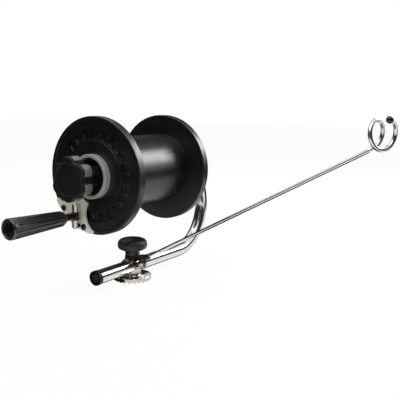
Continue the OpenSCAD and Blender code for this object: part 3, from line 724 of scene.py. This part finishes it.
def flange_shape(bore_r, face_y, inwards):
    """A flange as a closed polar skin: rounded rim, recessed web, ring of pockets, raised middle.

    inwards is +1 where the drum lies towards +Y of the face, and -1 on the far flange."""
    edge = 0.35 * MM
    pitch = math.tau / POCKETS
    half_rib = RIB_W / 2
    rim_r = FLANGE_R - RIM_T
    boss_r = POCKET_IN_R - 2 * MM
    mid_r = (POCKET_IN_R + POCKET_OUT_R) / 2
    near_rib = [0, half_rib - edge, half_rib, half_rib + edge, half_rib + 2 * edge]
    offsets = sorted({side * d / mid_r for d in near_rib for side in (-1, 1)})
    wide = offsets[-1]
    offsets += spread(wide, pitch - wide, 6)[1:-1]
    angles = [pitch * (i + 0.5) + a for i in range(POCKETS) for a in offsets]

    def depth(r, t):
        """How far the face lies below the rim's face."""
        web = WEB_STEP * smoothstep(boss_r - edge, boss_r + edge, r)
        web *= 1 - smoothstep(rim_r - edge, rim_r + edge, r)
        radial = min(r - POCKET_IN_R, POCKET_OUT_R - r)
        local = (t / pitch) % 1 - 0.5
        side = r * abs(math.sin(local * pitch)) - half_rib
        return web + POCKET_DEPTH * smoothstep(-edge, 1.6 * edge, min(radial, side))

    radii = [bore_r, bore_r + 0.5 * MM] + spread(bore_r, boss_r, 6)[1:-1]
    for step in (boss_r, POCKET_IN_R, POCKET_OUT_R, rim_r):
        radii += [step - 2 * edge, step - edge, step, step + edge, step + 2 * edge]
    radii += spread(POCKET_IN_R, POCKET_OUT_R, 5)[1:-1] + spread(POCKET_OUT_R, rim_r, 4)[1:-1]
    rows = [(steady(r), lambda t, r=r: depth(r, t)) for r in sorted(set(radii))]
    round_at = FLANGE_R - RIM_ROUND
    rows += [ring(round_at + RIM_ROUND * s, RIM_ROUND - RIM_ROUND * c) for c, s in arc(QUARTER, 8)]
    rows += [ring(round_at + RIM_ROUND * c, RIM_W - RIM_ROUND + RIM_ROUND * s) for c, s in arc(QUARTER, 8)]
    rows += [ring(DRUM_R, RIM_W), ring(bore_r, RIM_W)]
    return polar(rows, angles, lambda x, y, h: spool_place(x, y, face_y + inwards * h))


def build_flanges():
    """Both flanges; the far one has counterbores for the heads of the tie screws."""
    piece("near_flange_moulding", flange_shape(CUP_R + FIT, NEAR_Y, 1), "spool", "near_flange")
    above = 3 * MM
    bores = []
    for t in turns(TIE_SCREWS):
        a = t + TIE_TURN
        seat = spool_place(TIE_RING_R * math.cos(a), TIE_RING_R * math.sin(a), FAR_Y)
        bores.append(rod(
            seat - ALONG_Y * COUNTERBORE_DEPTH, seat + ALONG_Y * above, COUNTERBORE_R, sides=48))
    piece("far_flange_moulding", flange_shape(BUSH_R, FAR_Y, -1), "spool", "far_flange", cut=bores)


# Brake


def build_brake_cup():
    front = CUP_LO.y
    back = CUP_HI.y
    floor = back - CUP_FLOOR
    inner = CUP_R - CUP_WALL
    hole = TUBE_R + 1 * MM
    profile = rounded(
        [(CUP_R, back), (CUP_R, front), (inner, front), (inner, floor), (hole, floor), (hole, back)],
        [0, 0.9 * MM, 0.7 * MM, 0.6 * MM, 0.3 * MM, 0])
    piece("brake_cup_turning", lathe(profile, spool_place, segments=160), "spool", "brake_cup")


def star_radius(t):
    """Radius of the lobed brake knob: round lobes on a round core."""
    best = STAR_CORE_R
    for lobe in turns(LOBES):
        d = t - LOBE_TURN - lobe
        across = LOBE_AT * math.sin(d)
        if abs(across) < LOBE_R and math.cos(d) > 0:
            best = max(best, LOBE_AT * math.cos(d) + math.sqrt(LOBE_R ** 2 - across ** 2))
    return best


def star_table():
    """The star's radius at each angle, averaged with its neighbours to ease the inner corners."""
    raw = [star_radius(t) for t in turns(STAR_SAMPLES)]
    near = range(-3, 4)
    return [sum(raw[(k + j) % STAR_SAMPLES] for j in near) / len(near) for k in range(STAR_SAMPLES)]


def build_brake_knob():
    """The lobed metal body, and the black cap with a dished face on its front."""
    table = star_table()
    angles = turns(STAR_SAMPLES)
    chamfer = 0.3 * MM

    def star(grow):
        return lambda t: table[round(t / math.tau * STAR_SAMPLES) % STAR_SAMPLES] + grow

    bore = 9 * MM
    soft = 1.2 * MM
    body = [ring(bore, KNOB_HI.y)]
    body += [(star(-soft + soft * s), steady(KNOB_HI.y - soft + soft * c)) for c, s in arc(QUARTER, 5)]
    body += [(star(0), steady(KNOB_LO.y + chamfer)), (star(-chamfer), steady(KNOB_LO.y)),
             ring(bore, KNOB_LO.y)]
    shape = polar(body, angles, spool_place)
    piece("brake_knob_body", shape, "brake_knob", "brake_knob", look=KNOB_METAL)

    core = 2 * CORE_R
    proud = 0.4 * MM
    face_y = CAP_LO.y
    face_round = 1.6 * MM
    dish_r = STAR_CORE_R - 2.5 * MM
    dish_y = face_y + 0.8 * MM
    cap = [ring(core, CAP_HI.y), (star(proud - chamfer), steady(CAP_HI.y)),
           (star(proud), steady(CAP_HI.y - chamfer))]
    cap += [(star(proud - face_round + face_round * c), steady(face_y + face_round - face_round * s))
            for c, s in arc(QUARTER, 5)]
    cap += [ring(dish_r + 0.5 * MM, face_y), ring(dish_r, face_y + 0.15 * MM),
            ring(dish_r - 0.5 * MM, dish_y - 0.1 * MM), ring(dish_r - 0.9 * MM, dish_y), ring(core, dish_y)]
    shape = polar(cap, angles, spool_place)
    piece("brake_knob_face", shape, "brake_knob", "brake_knob_cap")


# Crank


def crank_point(u, v, h):
    """A point in the crank's frame: outwards, sideways, and above the near flange's face."""
    s, c = math.sin(CRANK_AZ), math.cos(CRANK_AZ)
    return Vector((-s * u - c * v, NEAR_Y - h, AXIS_Z - c * u + s * v))


def handle_point(along, aside, h):
    """A point in the handle's frame: along the hinge pin, across it, and above the flange's face."""
    c, s = math.cos(HINGE_TURN), math.sin(HINGE_TURN)
    return crank_point(CRANK_R + along * c - aside * s, CRANK_V + along * s + aside * c, h)


def hinge_axis():
    """The middle of the hinge pin, and its direction."""
    centre = handle_point(0, 0, PIN_H)
    return centre, (handle_point(1, 0, PIN_H) - centre).normalized()


def crank_outline():
    """The fan-shaped plate: an arc along the rim, and two hollow sides that leave a neck."""
    reach = FLANGE_R - 0.5 * MM
    side_u = PLATE_IN_U + 1 * MM
    hollow_r = PLATE_SCREW_U - side_u - 5 * MM
    hollow_v = NECK_HALF_W + hollow_r
    rim = [(math.sqrt(reach ** 2 - v ** 2), v) for v in spread(-PLATE_HALF_W, PLATE_HALF_W, 40)]
    inner = [(side_u + math.sqrt(max(0, hollow_r ** 2 - (v - hollow_v) ** 2)), v)
             for v in spread(PLATE_HALF_W, NECK_HALF_W, 40)]
    inner.append((PLATE_IN_U, NECK_HALF_W))
    return rim + inner + [(u, -v) for u, v in reversed(inner)]


def ear_outline():
    """A hinge ear seen along the pin: upright sides and a round top."""
    top = [(HINGE_EAR_R * c, PIN_H + HINGE_EAR_R * s) for c, s in arc(math.pi, 16)]
    return top + [(-HINGE_EAR_R, PLATE_T / 2), (HINGE_EAR_R, PLATE_T / 2)]


def build_crank_plate():
    """The satin plate, with two bright hinge barrels that stand on it."""
    plate = prism(crank_outline(), crank_point, 0, PLATE_T)
    ears = []
    for side in (-1, 1):
        start = side * (KNUCKLE_W / 2 + EAR_GAP)
        ears.append(prism(
            ear_outline(), lambda x, y, along: handle_point(along, x, y), start, start + side * EAR_T))
    obj = piece("crank_plate_pressing", plate, "spool", "crank_plate", add=ears, look=PLATE)
    obj.data.materials.append(BRIGHT)
    for face in obj.data.polygons:
        if NEAR_Y - face.center.y > PLATE_T + 0.1 * MM:
            face.material_index = 1
    bevel(obj, 0.45 * MM)


def build_hinge_pin():
    """The hinge pin, with a domed head at each end."""
    half = KNUCKLE_W / 2 + EAR_GAP + EAR_T
    head_r = PIN_R + 1.5 * MM
    head_t = 2 * MM
    dome = [(head_r, half), (head_r, half + 0.9 * MM), (head_r - 0.5 * MM, half + 1.5 * MM),
            (head_r - 1.4 * MM, half + 1.9 * MM), (CORE_R, half + head_t)]
    profile = [(r, -h) for r, h in reversed(dome)] + [(PIN_R, -half), (PIN_R, half)] + dome
    shape = lathe(profile, axis_place(*hinge_axis()), segments=64)
    piece("hinge_pin_turning", shape, "spool", "hinge_pin")


def build_crank_spindle():
    """The dark spindle: a knuckle on the hinge pin, a neck, and the shaft inside the grip."""
    centre, along = hinge_axis()
    tip = Vector((centre.x, box("crank_spindle")[0].y, centre.z))
    half = KNUCKLE_W / 2
    soft = 0.5 * MM
    bore = PIN_R + FIT
    barrel = rounded(
        [(bore, -half), (HINGE_EAR_R, -half), (HINGE_EAR_R, half), (bore, half)], [0, soft, soft, 0])
    knuckle = lathe(barrel, axis_place(centre, along), segments=64)
    neck = centre.y - GRIP_HI.y - EAR_GAP
    reach = centre.y - tip.y
    outline = rounded(
        [(CORE_R, 0), (NECK_R, 0), (NECK_R, neck), (SPINDLE_R, neck), (SPINDLE_R, reach), (CORE_R, reach)],
        [0, 0, 0.6 * MM, 0.3 * MM, 0.4 * MM, 0])
    shaft = lathe(outline, axis_place(centre, OUT_OF_FACE), segments=64)
    drill_half = 20 * MM
    drill = rod(centre - along * drill_half, centre + along * drill_half, bore, sides=48)
    thread_r = 2.05 * MM
    thread_depth = 14 * MM
    tapped = rod(tip + OUT_OF_FACE * 1 * MM, tip - OUT_OF_FACE * thread_depth, thread_r, sides=32)
    piece("crank_spindle_turning", knuckle, "crank", "crank_spindle", add=[shaft], cut=[drill, tapped])


def build_plate_screws():
    """Two dark screws with low domed heads and a slot."""
    head_r = 4.5 * MM
    head_edge = PLATE_T + 0.5 * MM
    dome_h = 1.9 * MM
    shank_r = 2 * MM
    bottom = -8 * MM
    slot_floor = PLATE_T + 1.4 * MM
    slot_top = PLATE_T + 4 * MM
    wide = 6 * MM
    thin = 0.6 * MM
    slot_outline = [(-wide, -thin), (wide, -thin), (wide, thin), (-wide, thin)]
    profile = [(CORE_R, bottom), (shank_r, bottom), (shank_r, PLATE_T), (head_r, PLATE_T)]
    profile += [(max(CORE_R, head_r * c), head_edge + dome_h * s) for c, s in arc(QUARTER, 8)]
    for name, at_v, slot_turn in (
            ("plate_screw_lower", -PLATE_SCREW_V, -15), ("plate_screw_upper", PLATE_SCREW_V, 65)):
        seat = crank_point(PLATE_SCREW_U, at_v, 0)
        head = lathe(profile, axis_place(seat, OUT_OF_FACE), segments=64)
        c, s = math.cos(math.radians(slot_turn)), math.sin(math.radians(slot_turn))
        slot = prism(
            slot_outline,
            lambda x, y, h: crank_point(PLATE_SCREW_U + x * c - y * s, at_v + x * s + y * c, h),
            slot_floor, slot_top)
        piece(name, head, "spool", "plate_screws", cut=[slot])


def build_hand_grip():
    """The fluted grip: a narrow tip at the hinge, a slow cone, and a recess in its free end."""
    root = GRIP_HI.y
    end = GRIP_LO.y
    length = root - end
    bore = SPINDLE_R + FIT
    tip = GRIP_ROOT_R - 4 * MM
    shoulder = root - GRIP_TAPER
    flute_depth = 1.1 * MM
    cone_to = length - 2 * MM
    flutes_to = length - 2.5 * MM
    end_round = 2.2 * MM
    recess_r = GRIP_END_R - 3.5 * MM
    recess_floor = end + 7 * MM
    stations = 60

    def outer(h):
        """Radius at a distance h from the root, with flutes that run out towards both ends."""
        along = (h - GRIP_TAPER) / (cone_to - GRIP_TAPER)
        cone = GRIP_ROOT_R + (GRIP_END_R - GRIP_ROOT_R) * min(1, along)
        run = smoothstep(GRIP_TAPER + 1 * MM, GRIP_TAPER + 6 * MM, h)
        run *= 1 - smoothstep(length - 18 * MM, length - 3 * MM, h)

        def at(t):
            wave = abs(((t / math.tau * FLUTES) % 1) - 0.5) * 2
            return cone - flute_depth * run * smoothstep(0.45, 0.95, wave)
        return at

    rows = [ring(bore, root), ring(tip - 0.5 * MM, root), ring(tip, root - 0.4 * MM),
            ring(GRIP_ROOT_R - 0.9 * MM, shoulder + 1.8 * MM),
            ring(GRIP_ROOT_R - 0.3 * MM, shoulder + 0.7 * MM)]
    rows += [(outer(h), steady(root - h)) for h in spread(GRIP_TAPER, flutes_to, stations)[:-1]]
    rows += [ring(GRIP_END_R - end_round + end_round * c, end + end_round - end_round * s)
             for c, s in arc(QUARTER, 5)]
    rows += [ring(recess_r + 0.4 * MM, end), ring(recess_r, end + 0.5 * MM),
             ring(recess_r, recess_floor), ring(bore, recess_floor)]
    shape = polar(rows, turns(FLUTES * 16), along_y_place(GRIP_AXIS))
    piece("hand_grip_moulding", shape, "grip", "hand_grip")


# Clamp and swing pivot


def leg_cutter(r, sides):
    """A bar round the lower leg's axis, longer than the clamp's pieces are wide."""
    middle = Vector((0, 0, LEG_Z))
    reach = ALONG_Y * 40 * MM
    return rod(middle - reach, middle + reach, r, sides)


def build_clamp_washer():
    """The black washer, hollow underneath so that it sits on the saddle's back."""
    lo, hi = box("clamp_washer")
    profile = rounded(
        [(CLAMP_BORE_R, lo.z), (hi.x, lo.z), (CLAMP_STEM_R + 0.3 * MM, hi.z), (CLAMP_BORE_R, hi.z)],
        [0, 0.4 * MM, 0.4 * MM, 0.2 * MM])
    cone = lathe(profile, clamp_place, segments=96)
    back_r = box("clamp_saddle")[1].z - LEG_Z + FIT
    piece("saddle_washer", cone, "frame", "clamp_washer", cut=[leg_cutter(back_r, sides=128)])


def build_clamp_saddle():
    """The bent saddle over the tube, with the ear that carries the guide rod's pivot."""
    lo, hi = box("clamp_saddle")
    outer = -lo.x
    inner = TUBE_R + FIT
    outline = [(outer * c, outer * s) for c, s in arc(math.pi, 40)]
    outline += [(inner * c, inner * s) for c, s in reversed(arc(math.pi, 40))]
    band = prism(outline, leg_place, lo.y, hi.y)
    ear_r = hi.x - PIVOT.x
    ear_top = box("rod_swivel")[0].z - EAR_GAP
    root_x = outer - 2 * MM
    ear = [(root_x, ear_r)]
    ear += [(PIVOT.x + ear_r * s, ear_r * c) for c, s in arc(math.pi, 20)]
    ear += [(root_x, -ear_r)]
    lug = prism(ear, clamp_place, ear_top - SADDLE_EAR_T, ear_top)
    obj = piece("saddle_bracket", band, "frame", "clamp_saddle", add=[lug])
    bevel(obj, 0.4 * MM)


def build_pivot_bolt():
    """The dark swing bolt with a rounded head."""
    lo, hi = box("pivot_bolt")
    shank = 3 * MM
    head_r = hi.x - PIVOT.x
    under = hi.z - 2.5 * MM
    profile = rounded(
        [(CORE_R, lo.z), (shank, lo.z), (shank, under), (head_r, under), (head_r, hi.z), (CORE_R, hi.z)],
        [0, 0.5 * MM, 0, 0.2 * MM, 0.9 * MM, 0])
    shape = lathe(profile, pivot_place, segments=64)
    piece("pivot_bolt_turning", shape, "frame", "pivot_bolt")


def build_rear_collar():
    """The collar behind the far flange, with the hole of its set screw."""
    lo, hi = box("rear_collar")
    outer = hi.x
    soft = 0.8 * MM
    eased = 0.3 * MM
    bore = TUBE_R + FIT
    profile = rounded(
        [(bore, lo.y), (outer, lo.y), (outer, hi.y), (bore, hi.y)], [eased, soft, soft, eased])
    collar = lathe(profile, spool_place, segments=96)
    middle = Vector((0, (lo.y + hi.y) / 2, AXIS_Z))
    screw_r = 2.5 * MM
    hole = rod(middle + ALONG_X * TUBE_R, middle + ALONG_X * 2 * outer, screw_r, sides=48)
    piece("collar_turning", collar, "frame", "rear_collar", cut=[hole])


def build_rod_swivel():
    """The dark swivel: an upright boss with a socket that holds the rod on its slope."""
    lo = box("rod_swivel")[0]
    top = 2 * PIVOT.z - lo.z
    boss_r = PIVOT.x - lo.x
    head_room_r = 4.8 * MM
    soft = 0.8 * MM
    profile = rounded(
        [(PIVOT_BORE_R, lo.z), (boss_r, lo.z), (boss_r, top), (PIVOT_BORE_R, top)],
        [0, soft, soft, 0.3 * MM])
    boss = lathe(profile, pivot_place, segments=64)
    foot = Vector((PIVOT.x, PIVOT.y, lo.z - 1 * MM))
    crown = Vector((PIVOT.x, PIVOT.y, top))
    above = crown + ALONG_Z * SOCKET_LEN
    drill = rod(foot, above, PIVOT_BORE_R, sides=64)
    head_room = rod(crown, above, head_room_r, sides=64)
    socket_r = ROD_R + 1.7 * MM
    socket_from = 3.6 * MM
    socket = sweep([
        (PIVOT + ROD_RUN * socket_from, socket_r), (PIVOT + ROD_RUN * (SOCKET_LEN - soft), socket_r),
        (PIVOT + ROD_RUN * (SOCKET_LEN - 0.3 * soft), socket_r - 0.3 * soft),
        (PIVOT + ROD_RUN * SOCKET_LEN, socket_r - soft)], sides=48)
    piece("swivel_moulding", boss, "guide", "rod_swivel", [socket], [drill, head_room], SWIVEL)


def build_pivot_nut():
    """A hexagon nut with turned chamfers at both ends."""
    lo, hi = box("pivot_nut")
    corner = (hi.x - lo.x) / 2
    chamfer_r = corner * 0.9
    chamfer_h = 0.6 * MM
    half_side = math.pi / 6
    flat_r = corner * math.cos(half_side)

    def hexagon(limit):
        """The hexagon's radius, cut back to a round limit; a corner lies at the angle 0."""
        def at(t):
            from_flat = t % (2 * half_side) - half_side
            return min(limit, flat_r / math.cos(from_flat))
        return at

    rows = [ring(PIVOT_BORE_R, lo.z), (hexagon(chamfer_r), steady(lo.z)),
            (hexagon(corner), steady(lo.z + chamfer_h)), (hexagon(corner), steady(hi.z - chamfer_h)),
            (hexagon(chamfer_r), steady(hi.z)), ring(PIVOT_BORE_R, hi.z)]
    shape = polar(rows, turns(96), pivot_place)
    piece("pivot_hex_nut", shape, "frame", "pivot_nut", sharp=25)


def build_rosette():
    """The toothed disc: V grooves that deepen outwards leave teeth that taper towards the centre."""
    boss_r = 13 * MM
    boss_top = LEG_Z - 2 * MM
    boss_root = 1 * MM
    top = TOOTH_H + ROSETTE_T
    soft = 0.5 * MM
    edge = 0.3 * MM
    inner_r = ROSETTE_R - TOOTH_LEN
    groove = TOOTH_H - 0.2 * MM
    half_pitch = math.pi * ROSETTE_R / TEETH
    flank = (half_pitch - TOOTH_FLAT / 2) / groove

    def groove_depth(r, t):
        local = ((t / math.tau * TEETH) % 1) - 0.5
        across = abs(local) * math.tau / TEETH * r
        return max(0, groove * r / ROSETTE_R - across / flank)

    rows = [ring(CLAMP_BORE_R, TOOTH_H), ring(inner_r - edge, TOOTH_H)]
    rows += [(steady(r), lambda t, r=r: groove_depth(r, t)) for r in spread(inner_r, ROSETTE_R - edge, 6)]
    rows += [(steady(ROSETTE_R), lambda t: min(TOOTH_H, groove_depth(ROSETTE_R, t) + edge)),
             ring(ROSETTE_R, top - soft), ring(ROSETTE_R - soft, top),
             ring(boss_r + boss_root, top), ring(boss_r, top + boss_root),
             ring(boss_r, boss_top), ring(CLAMP_BORE_R, boss_top)]
    disc = polar(rows, turns(TEETH * 14), clamp_place)
    piece("toothed_rosette", disc, "frame", "rosette", cut=[leg_cutter(TUBE_R + FIT, sides=96)])


def build_clamp_knob():
    """A mushroom knob with six shallow finger scallops."""
    base = CLAMP_LO.z
    under = CLAMP_HI.z - CLAMP_HEAD_H
    bore = 6.5 * MM
    bore_top = base + 20 * MM
    soft = 0.5 * MM
    low_round = 6 * MM
    high_round = 7.4 * MM
    top_r = CLAMP_R - high_round
    crown = 2.4 * MM
    crown_z = CLAMP_HI.z - crown
    core = 2 * CORE_R
    half_finger = math.pi / FINGERS
    scallop_at = CLAMP_R + FINGER_R - FINGER_DEPTH

    def lobed(r):
        """The radius r, cut back where a scallop crosses it."""
        def at(t):
            d = (t - FINGER_TURN + half_finger) % (2 * half_finger) - half_finger
            across = scallop_at * math.sin(d)
            if abs(across) >= FINGER_R:
                return r
            near = scallop_at * math.cos(d) - math.sqrt(FINGER_R ** 2 - across ** 2)
            return r - max(0, CLAMP_R - near) * smoothstep(CLAMP_STEM_R, CLAMP_R, r)
        return at

    rows = [ring(bore, base), ring(CLAMP_STEM_R - soft, base), ring(CLAMP_STEM_R, base + soft),
            ring(CLAMP_STEM_R, under - 1 * MM), ring(CLAMP_STEM_R + 0.4 * MM, under - 0.2 * MM),
            ring(CLAMP_STEM_R + 1.4 * MM, under + 0.1 * MM)]
    rows += [(lobed(CLAMP_R - low_round + low_round * s), steady(under + low_round - low_round * c))
             for c, s in arc(QUARTER, 10)]
    rows += [(lobed(top_r + high_round * c), steady(crown_z - high_round + high_round * s))
             for c, s in arc(QUARTER, 10)]
    for r in spread(top_r + core, core, 6)[1:]:
        rows.append(ring(r, CLAMP_HI.z - crown * (r / top_r) ** 2))
    rows += [ring(core, bore_top), ring(bore, bore_top)]
    shape = polar(rows, turns(192), clamp_place)
    piece("clamp_knob_moulding", shape, "clamp_knob", "clamp_knob", look=SOFT_BLACK)


# Guide rod


def loop_offset(degrees):
    """A point of the pigtail's helix, from the middle of its start."""
    t = math.radians(degrees)
    along = Vector((math.cos(LOOP_YAW), -math.sin(LOOP_YAW), 0))
    aside = Vector((math.sin(LOOP_YAW), math.cos(LOOP_YAW), 0))
    return along * LOOP_PITCH * degrees / 360 + (aside * math.cos(t) + ALONG_Z * math.sin(t)) * LOOP_R


def loop_tangent(degrees):
    step = 0.5
    return (loop_offset(degrees + step) - loop_offset(degrees - step)).normalized()


def bezier(a, b, c, d, t):
    s = 1 - t
    return a * s ** 3 + b * 3 * t * s ** 2 + c * 3 * t ** 2 * s + d * t ** 3


def build_guide_rod():
    """One bent wire: a straight run from the swivel, a blend, and the pigtail eye with its ball."""
    to = PIVOT + ROD_RUN * ROD_LEN
    points = spread(PIVOT + ROD_RUN * ROD_SEAT, to, 30)[:-1]
    entry = to + LOOP_ENTRY
    pull_out = to + ROD_RUN * BLEND_PULL
    pull_in = entry - loop_tangent(LOOP_FROM) * BLEND_PULL
    points += [bezier(to, pull_out, pull_in, entry, t) for t in spread(0, 1, 14)[:-1]]
    origin = entry - loop_offset(LOOP_FROM)
    points += [origin + loop_offset(degrees) for degrees in range(LOOP_FROM, LOOP_TO, LOOP_STEP)]
    last = origin + loop_offset(LOOP_TO)
    tip_dir = loop_tangent(LOOP_TO)
    tip = last + tip_dir * BALL_R
    points += [last, tip]
    shape = sweep([(p, ROD_R) for p in points], sides=32)
    piece("guide_wire", shape, "guide", "guide_rod", look=WIRE)
    build_tip_ball(tip, tip_dir)


def build_tip_ball(centre, direction):
    """A ball with a short collar where the wire enters it."""
    core = 2 * CORE_R
    mouth = math.radians(143)
    stations = [(centre - direction * BALL_R * 0.98, ROD_R + core)]
    for a in spread(mouth, 0, 24):
        stations.append((centre + direction * BALL_R * math.cos(a), max(core, BALL_R * math.sin(a))))
    piece("tip_ball_moulding", sweep(stations, sides=48), "guide", "tip_ball")


# Stage, light and camera

FLOOR_HALF = 6.0
FLOOR_DROP = 0.5 * MM
FLOOR_GLOW = 0.95
# Widest panel of a flag wall, in degrees
FLAG_PANEL = 30
CAMERA_AT = Vector((0.5420, -0.6444, 0.2608))
CAMERA_AZ = math.radians(33.3)
CAMERA_EL = math.radians(9.5)
CAMERA_ROLL = math.radians(0.9)
CAMERA_LENS = 52.08


def level_corners(left, right, front, back, z):
    return [(left, front, z), (right, front, z), (right, back, z), (left, back, z)]


def stage_card(name, corners):
    """A flat piece of the stage, with its material's node tree."""
    mesh = bpy.data.meshes.new(name)
    mesh.from_pydata(corners, [], [tuple(range(len(corners)))])
    material = bpy.data.materials.new(name)
    material.use_nodes = True
    mesh.materials.append(material)
    card = add_object(name, mesh)
    return card, material.node_tree


def seen_as(tree, output, plain, seen, share):
    """Mixes a share of one shader over the plain one, for rays from camera, mirror or glass."""
    path = tree.nodes.new("ShaderNodeLightPath").outputs
    direct = math_node(tree, "MAXIMUM", path["Is Camera Ray"], path["Is Glossy Ray"])
    direct = math_node(tree, "MAXIMUM", direct, path["Is Transmission Ray"])
    mix = tree.nodes.new("ShaderNodeMixShader")
    tree.links.new(math_node(tree, "MULTIPLY", direct, share), mix.inputs["Fac"])
    tree.links.new(plain.outputs[0], mix.inputs[1])
    tree.links.new(seen.outputs[0], mix.inputs[2])
    tree.links.new(mix.outputs["Shader"], tree.nodes[output].inputs["Surface"])


def build_stage():
    """A pale floor under the part; it keeps the shadow and fades into the white background."""
    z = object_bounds()[0].z - FLOOR_DROP
    tree = stage_card("floor", level_corners(-FLOOR_HALF, FLOOR_HALF, -FLOOR_HALF, FLOOR_HALF, z))[1]
    tree.nodes.remove(tree.nodes["Principled BSDF"])
    pale = add_node(tree, "ShaderNodeBsdfDiffuse", Color=(0.93, 0.93, 0.93, 1))
    glow = add_node(tree, "ShaderNodeEmission", Color=(1, 1, 1, 1), Strength=1.0)
    seen_as(tree, "Material Output", pale, glow, FLOOR_GLOW)


def dark_flag(name, corners):
    """A dark card for painted dark reflections: only mirrors and gloss see it; the camera and the light
    pass it.
    """
    card, tree = stage_card(name, corners)
    shader = tree.nodes["Principled BSDF"]
    shader.inputs["Base Color"].default_value = (0.012, 0.012, 0.012, 1)
    shader.inputs["Roughness"].default_value = 0.9
    for kind in ("camera", "diffuse", "transmission", "volume_scatter", "shadow"):
        setattr(card, "visible_" + kind, False)


def flag_wall(name, first, last, radius, head):
    """Upright cards round the part between two bearings in degrees, 0 being in front."""
    def corner(degrees, z):
        a = math.radians(degrees)
        return (radius * math.sin(a), -radius * math.cos(a), z)

    bearings = spread(first, last, math.ceil((last - first) / FLAG_PANEL))
    for k, (a, b) in enumerate(zip(bearings, bearings[1:])):
        dark_flag("%s_%d" % (name, k), [corner(a, 0), corner(b, 0), corner(b, head), corner(a, head)])


def floor_flag(name, left, right, front, back):
    dark_flag(name, level_corners(left, right, front, back, 0.2 * MM))


def build_flags():
    """Dark cards that only gloss sees, as in a studio with its lit side behind the part: painted dark
    reflections, which give the gloss its dark bands.
    """
    flag_wall("front_flag", first=-150, last=118, radius=0.95, head=0.75)
    flag_wall("right_flag", first=118, last=180, radius=0.6, head=0.2)
    flag_wall("left_flag", first=162, last=210, radius=0.62, head=1.0)
    # Floor cards: painted dark reflections of the floor, seen in the near flange, the tube and the rod
    floor_flag("front_floor_flag", left=-0.95, right=-0.12, front=-0.95, back=-0.22)
    floor_flag("floor_flag", left=-0.6, right=0.006, front=-0.12, back=0.6)
    floor_flag("rod_flag", left=0.09, right=0.5, front=-0.12, back=0.12)


def build_world():
    """A soft white surround, which the camera and mirrors see at full white."""
    world = bpy.data.worlds.new("studio")
    bpy.context.scene.world = world
    world.use_nodes = True
    tree = world.node_tree
    soft = tree.nodes["Background"]
    soft.inputs["Color"].default_value = (1, 1, 1, 1)
    soft.inputs["Strength"].default_value = 0.45
    white = add_node(tree, "ShaderNodeBackground", Color=(1, 1, 1, 1), Strength=1.0)
    seen_as(tree, "World Output", soft, white, 1.0)


def area_lamp(name, at, aim, size, power):
    data = bpy.data.lights.new(name, "AREA")
    data.shape = "RECTANGLE"
    data.size, data.size_y = size
    data.energy = power
    lamp = add_object(name, data)
    lamp.location = at
    lamp.rotation_mode = "QUATERNION"
    lamp.rotation_quaternion = (Vector(aim) - Vector(at)).to_track_quat("-Z", "Y")


def build_lamps():
    area_lamp("back_softbox", at=(0.52, 1.27, 0.88), aim=(0, 0, 0.16), size=(1.15, 0.58), power=17.5)
    area_lamp("top_softbox", at=(0.1, -0.7, 1.5), aim=(0, 0, 0.12), size=(1.2, 0.9), power=9)


def build_camera():
    """The photograph's camera, fitted to the flanges and the bent tube."""
    level = Vector((math.sin(CAMERA_AZ), -math.cos(CAMERA_AZ), 0))
    back = level * math.cos(CAMERA_EL) + ALONG_Z * math.sin(CAMERA_EL)
    right = Vector((math.cos(CAMERA_AZ), math.sin(CAMERA_AZ), 0))
    up = back.cross(right)
    c, s = math.cos(CAMERA_ROLL), math.sin(CAMERA_ROLL)
    right, up = right * c + up * s, up * c - right * s
    data = bpy.data.cameras.new("camera")
    data.sensor_width = 36
    data.lens = CAMERA_LENS
    data.clip_start, data.clip_end = 0.01, 50
    camera = add_object("camera", data)
    camera.matrix_world = Matrix.Translation(CAMERA_AT) @ Matrix((right, up, back)).transposed().to_4x4()
    bpy.context.scene.camera = camera


dress_cad_nodes()
build_frame_tube()
build_end_cap()
build_drum()
build_flanges()
build_brake_cup()
build_brake_knob()
build_crank_plate()
build_hinge_pin()
build_crank_spindle()
build_plate_screws()
build_hand_grip()
build_clamp_washer()
build_clamp_saddle()
build_pivot_bolt()
build_rear_collar()
build_rod_swivel()
build_pivot_nut()
build_rosette()
build_clamp_knob()
build_guide_rod()
build_stage()
build_flags()
build_world()
build_lamps()
build_camera()
bpy.context.scene.view_settings.view_transform = "Standard"
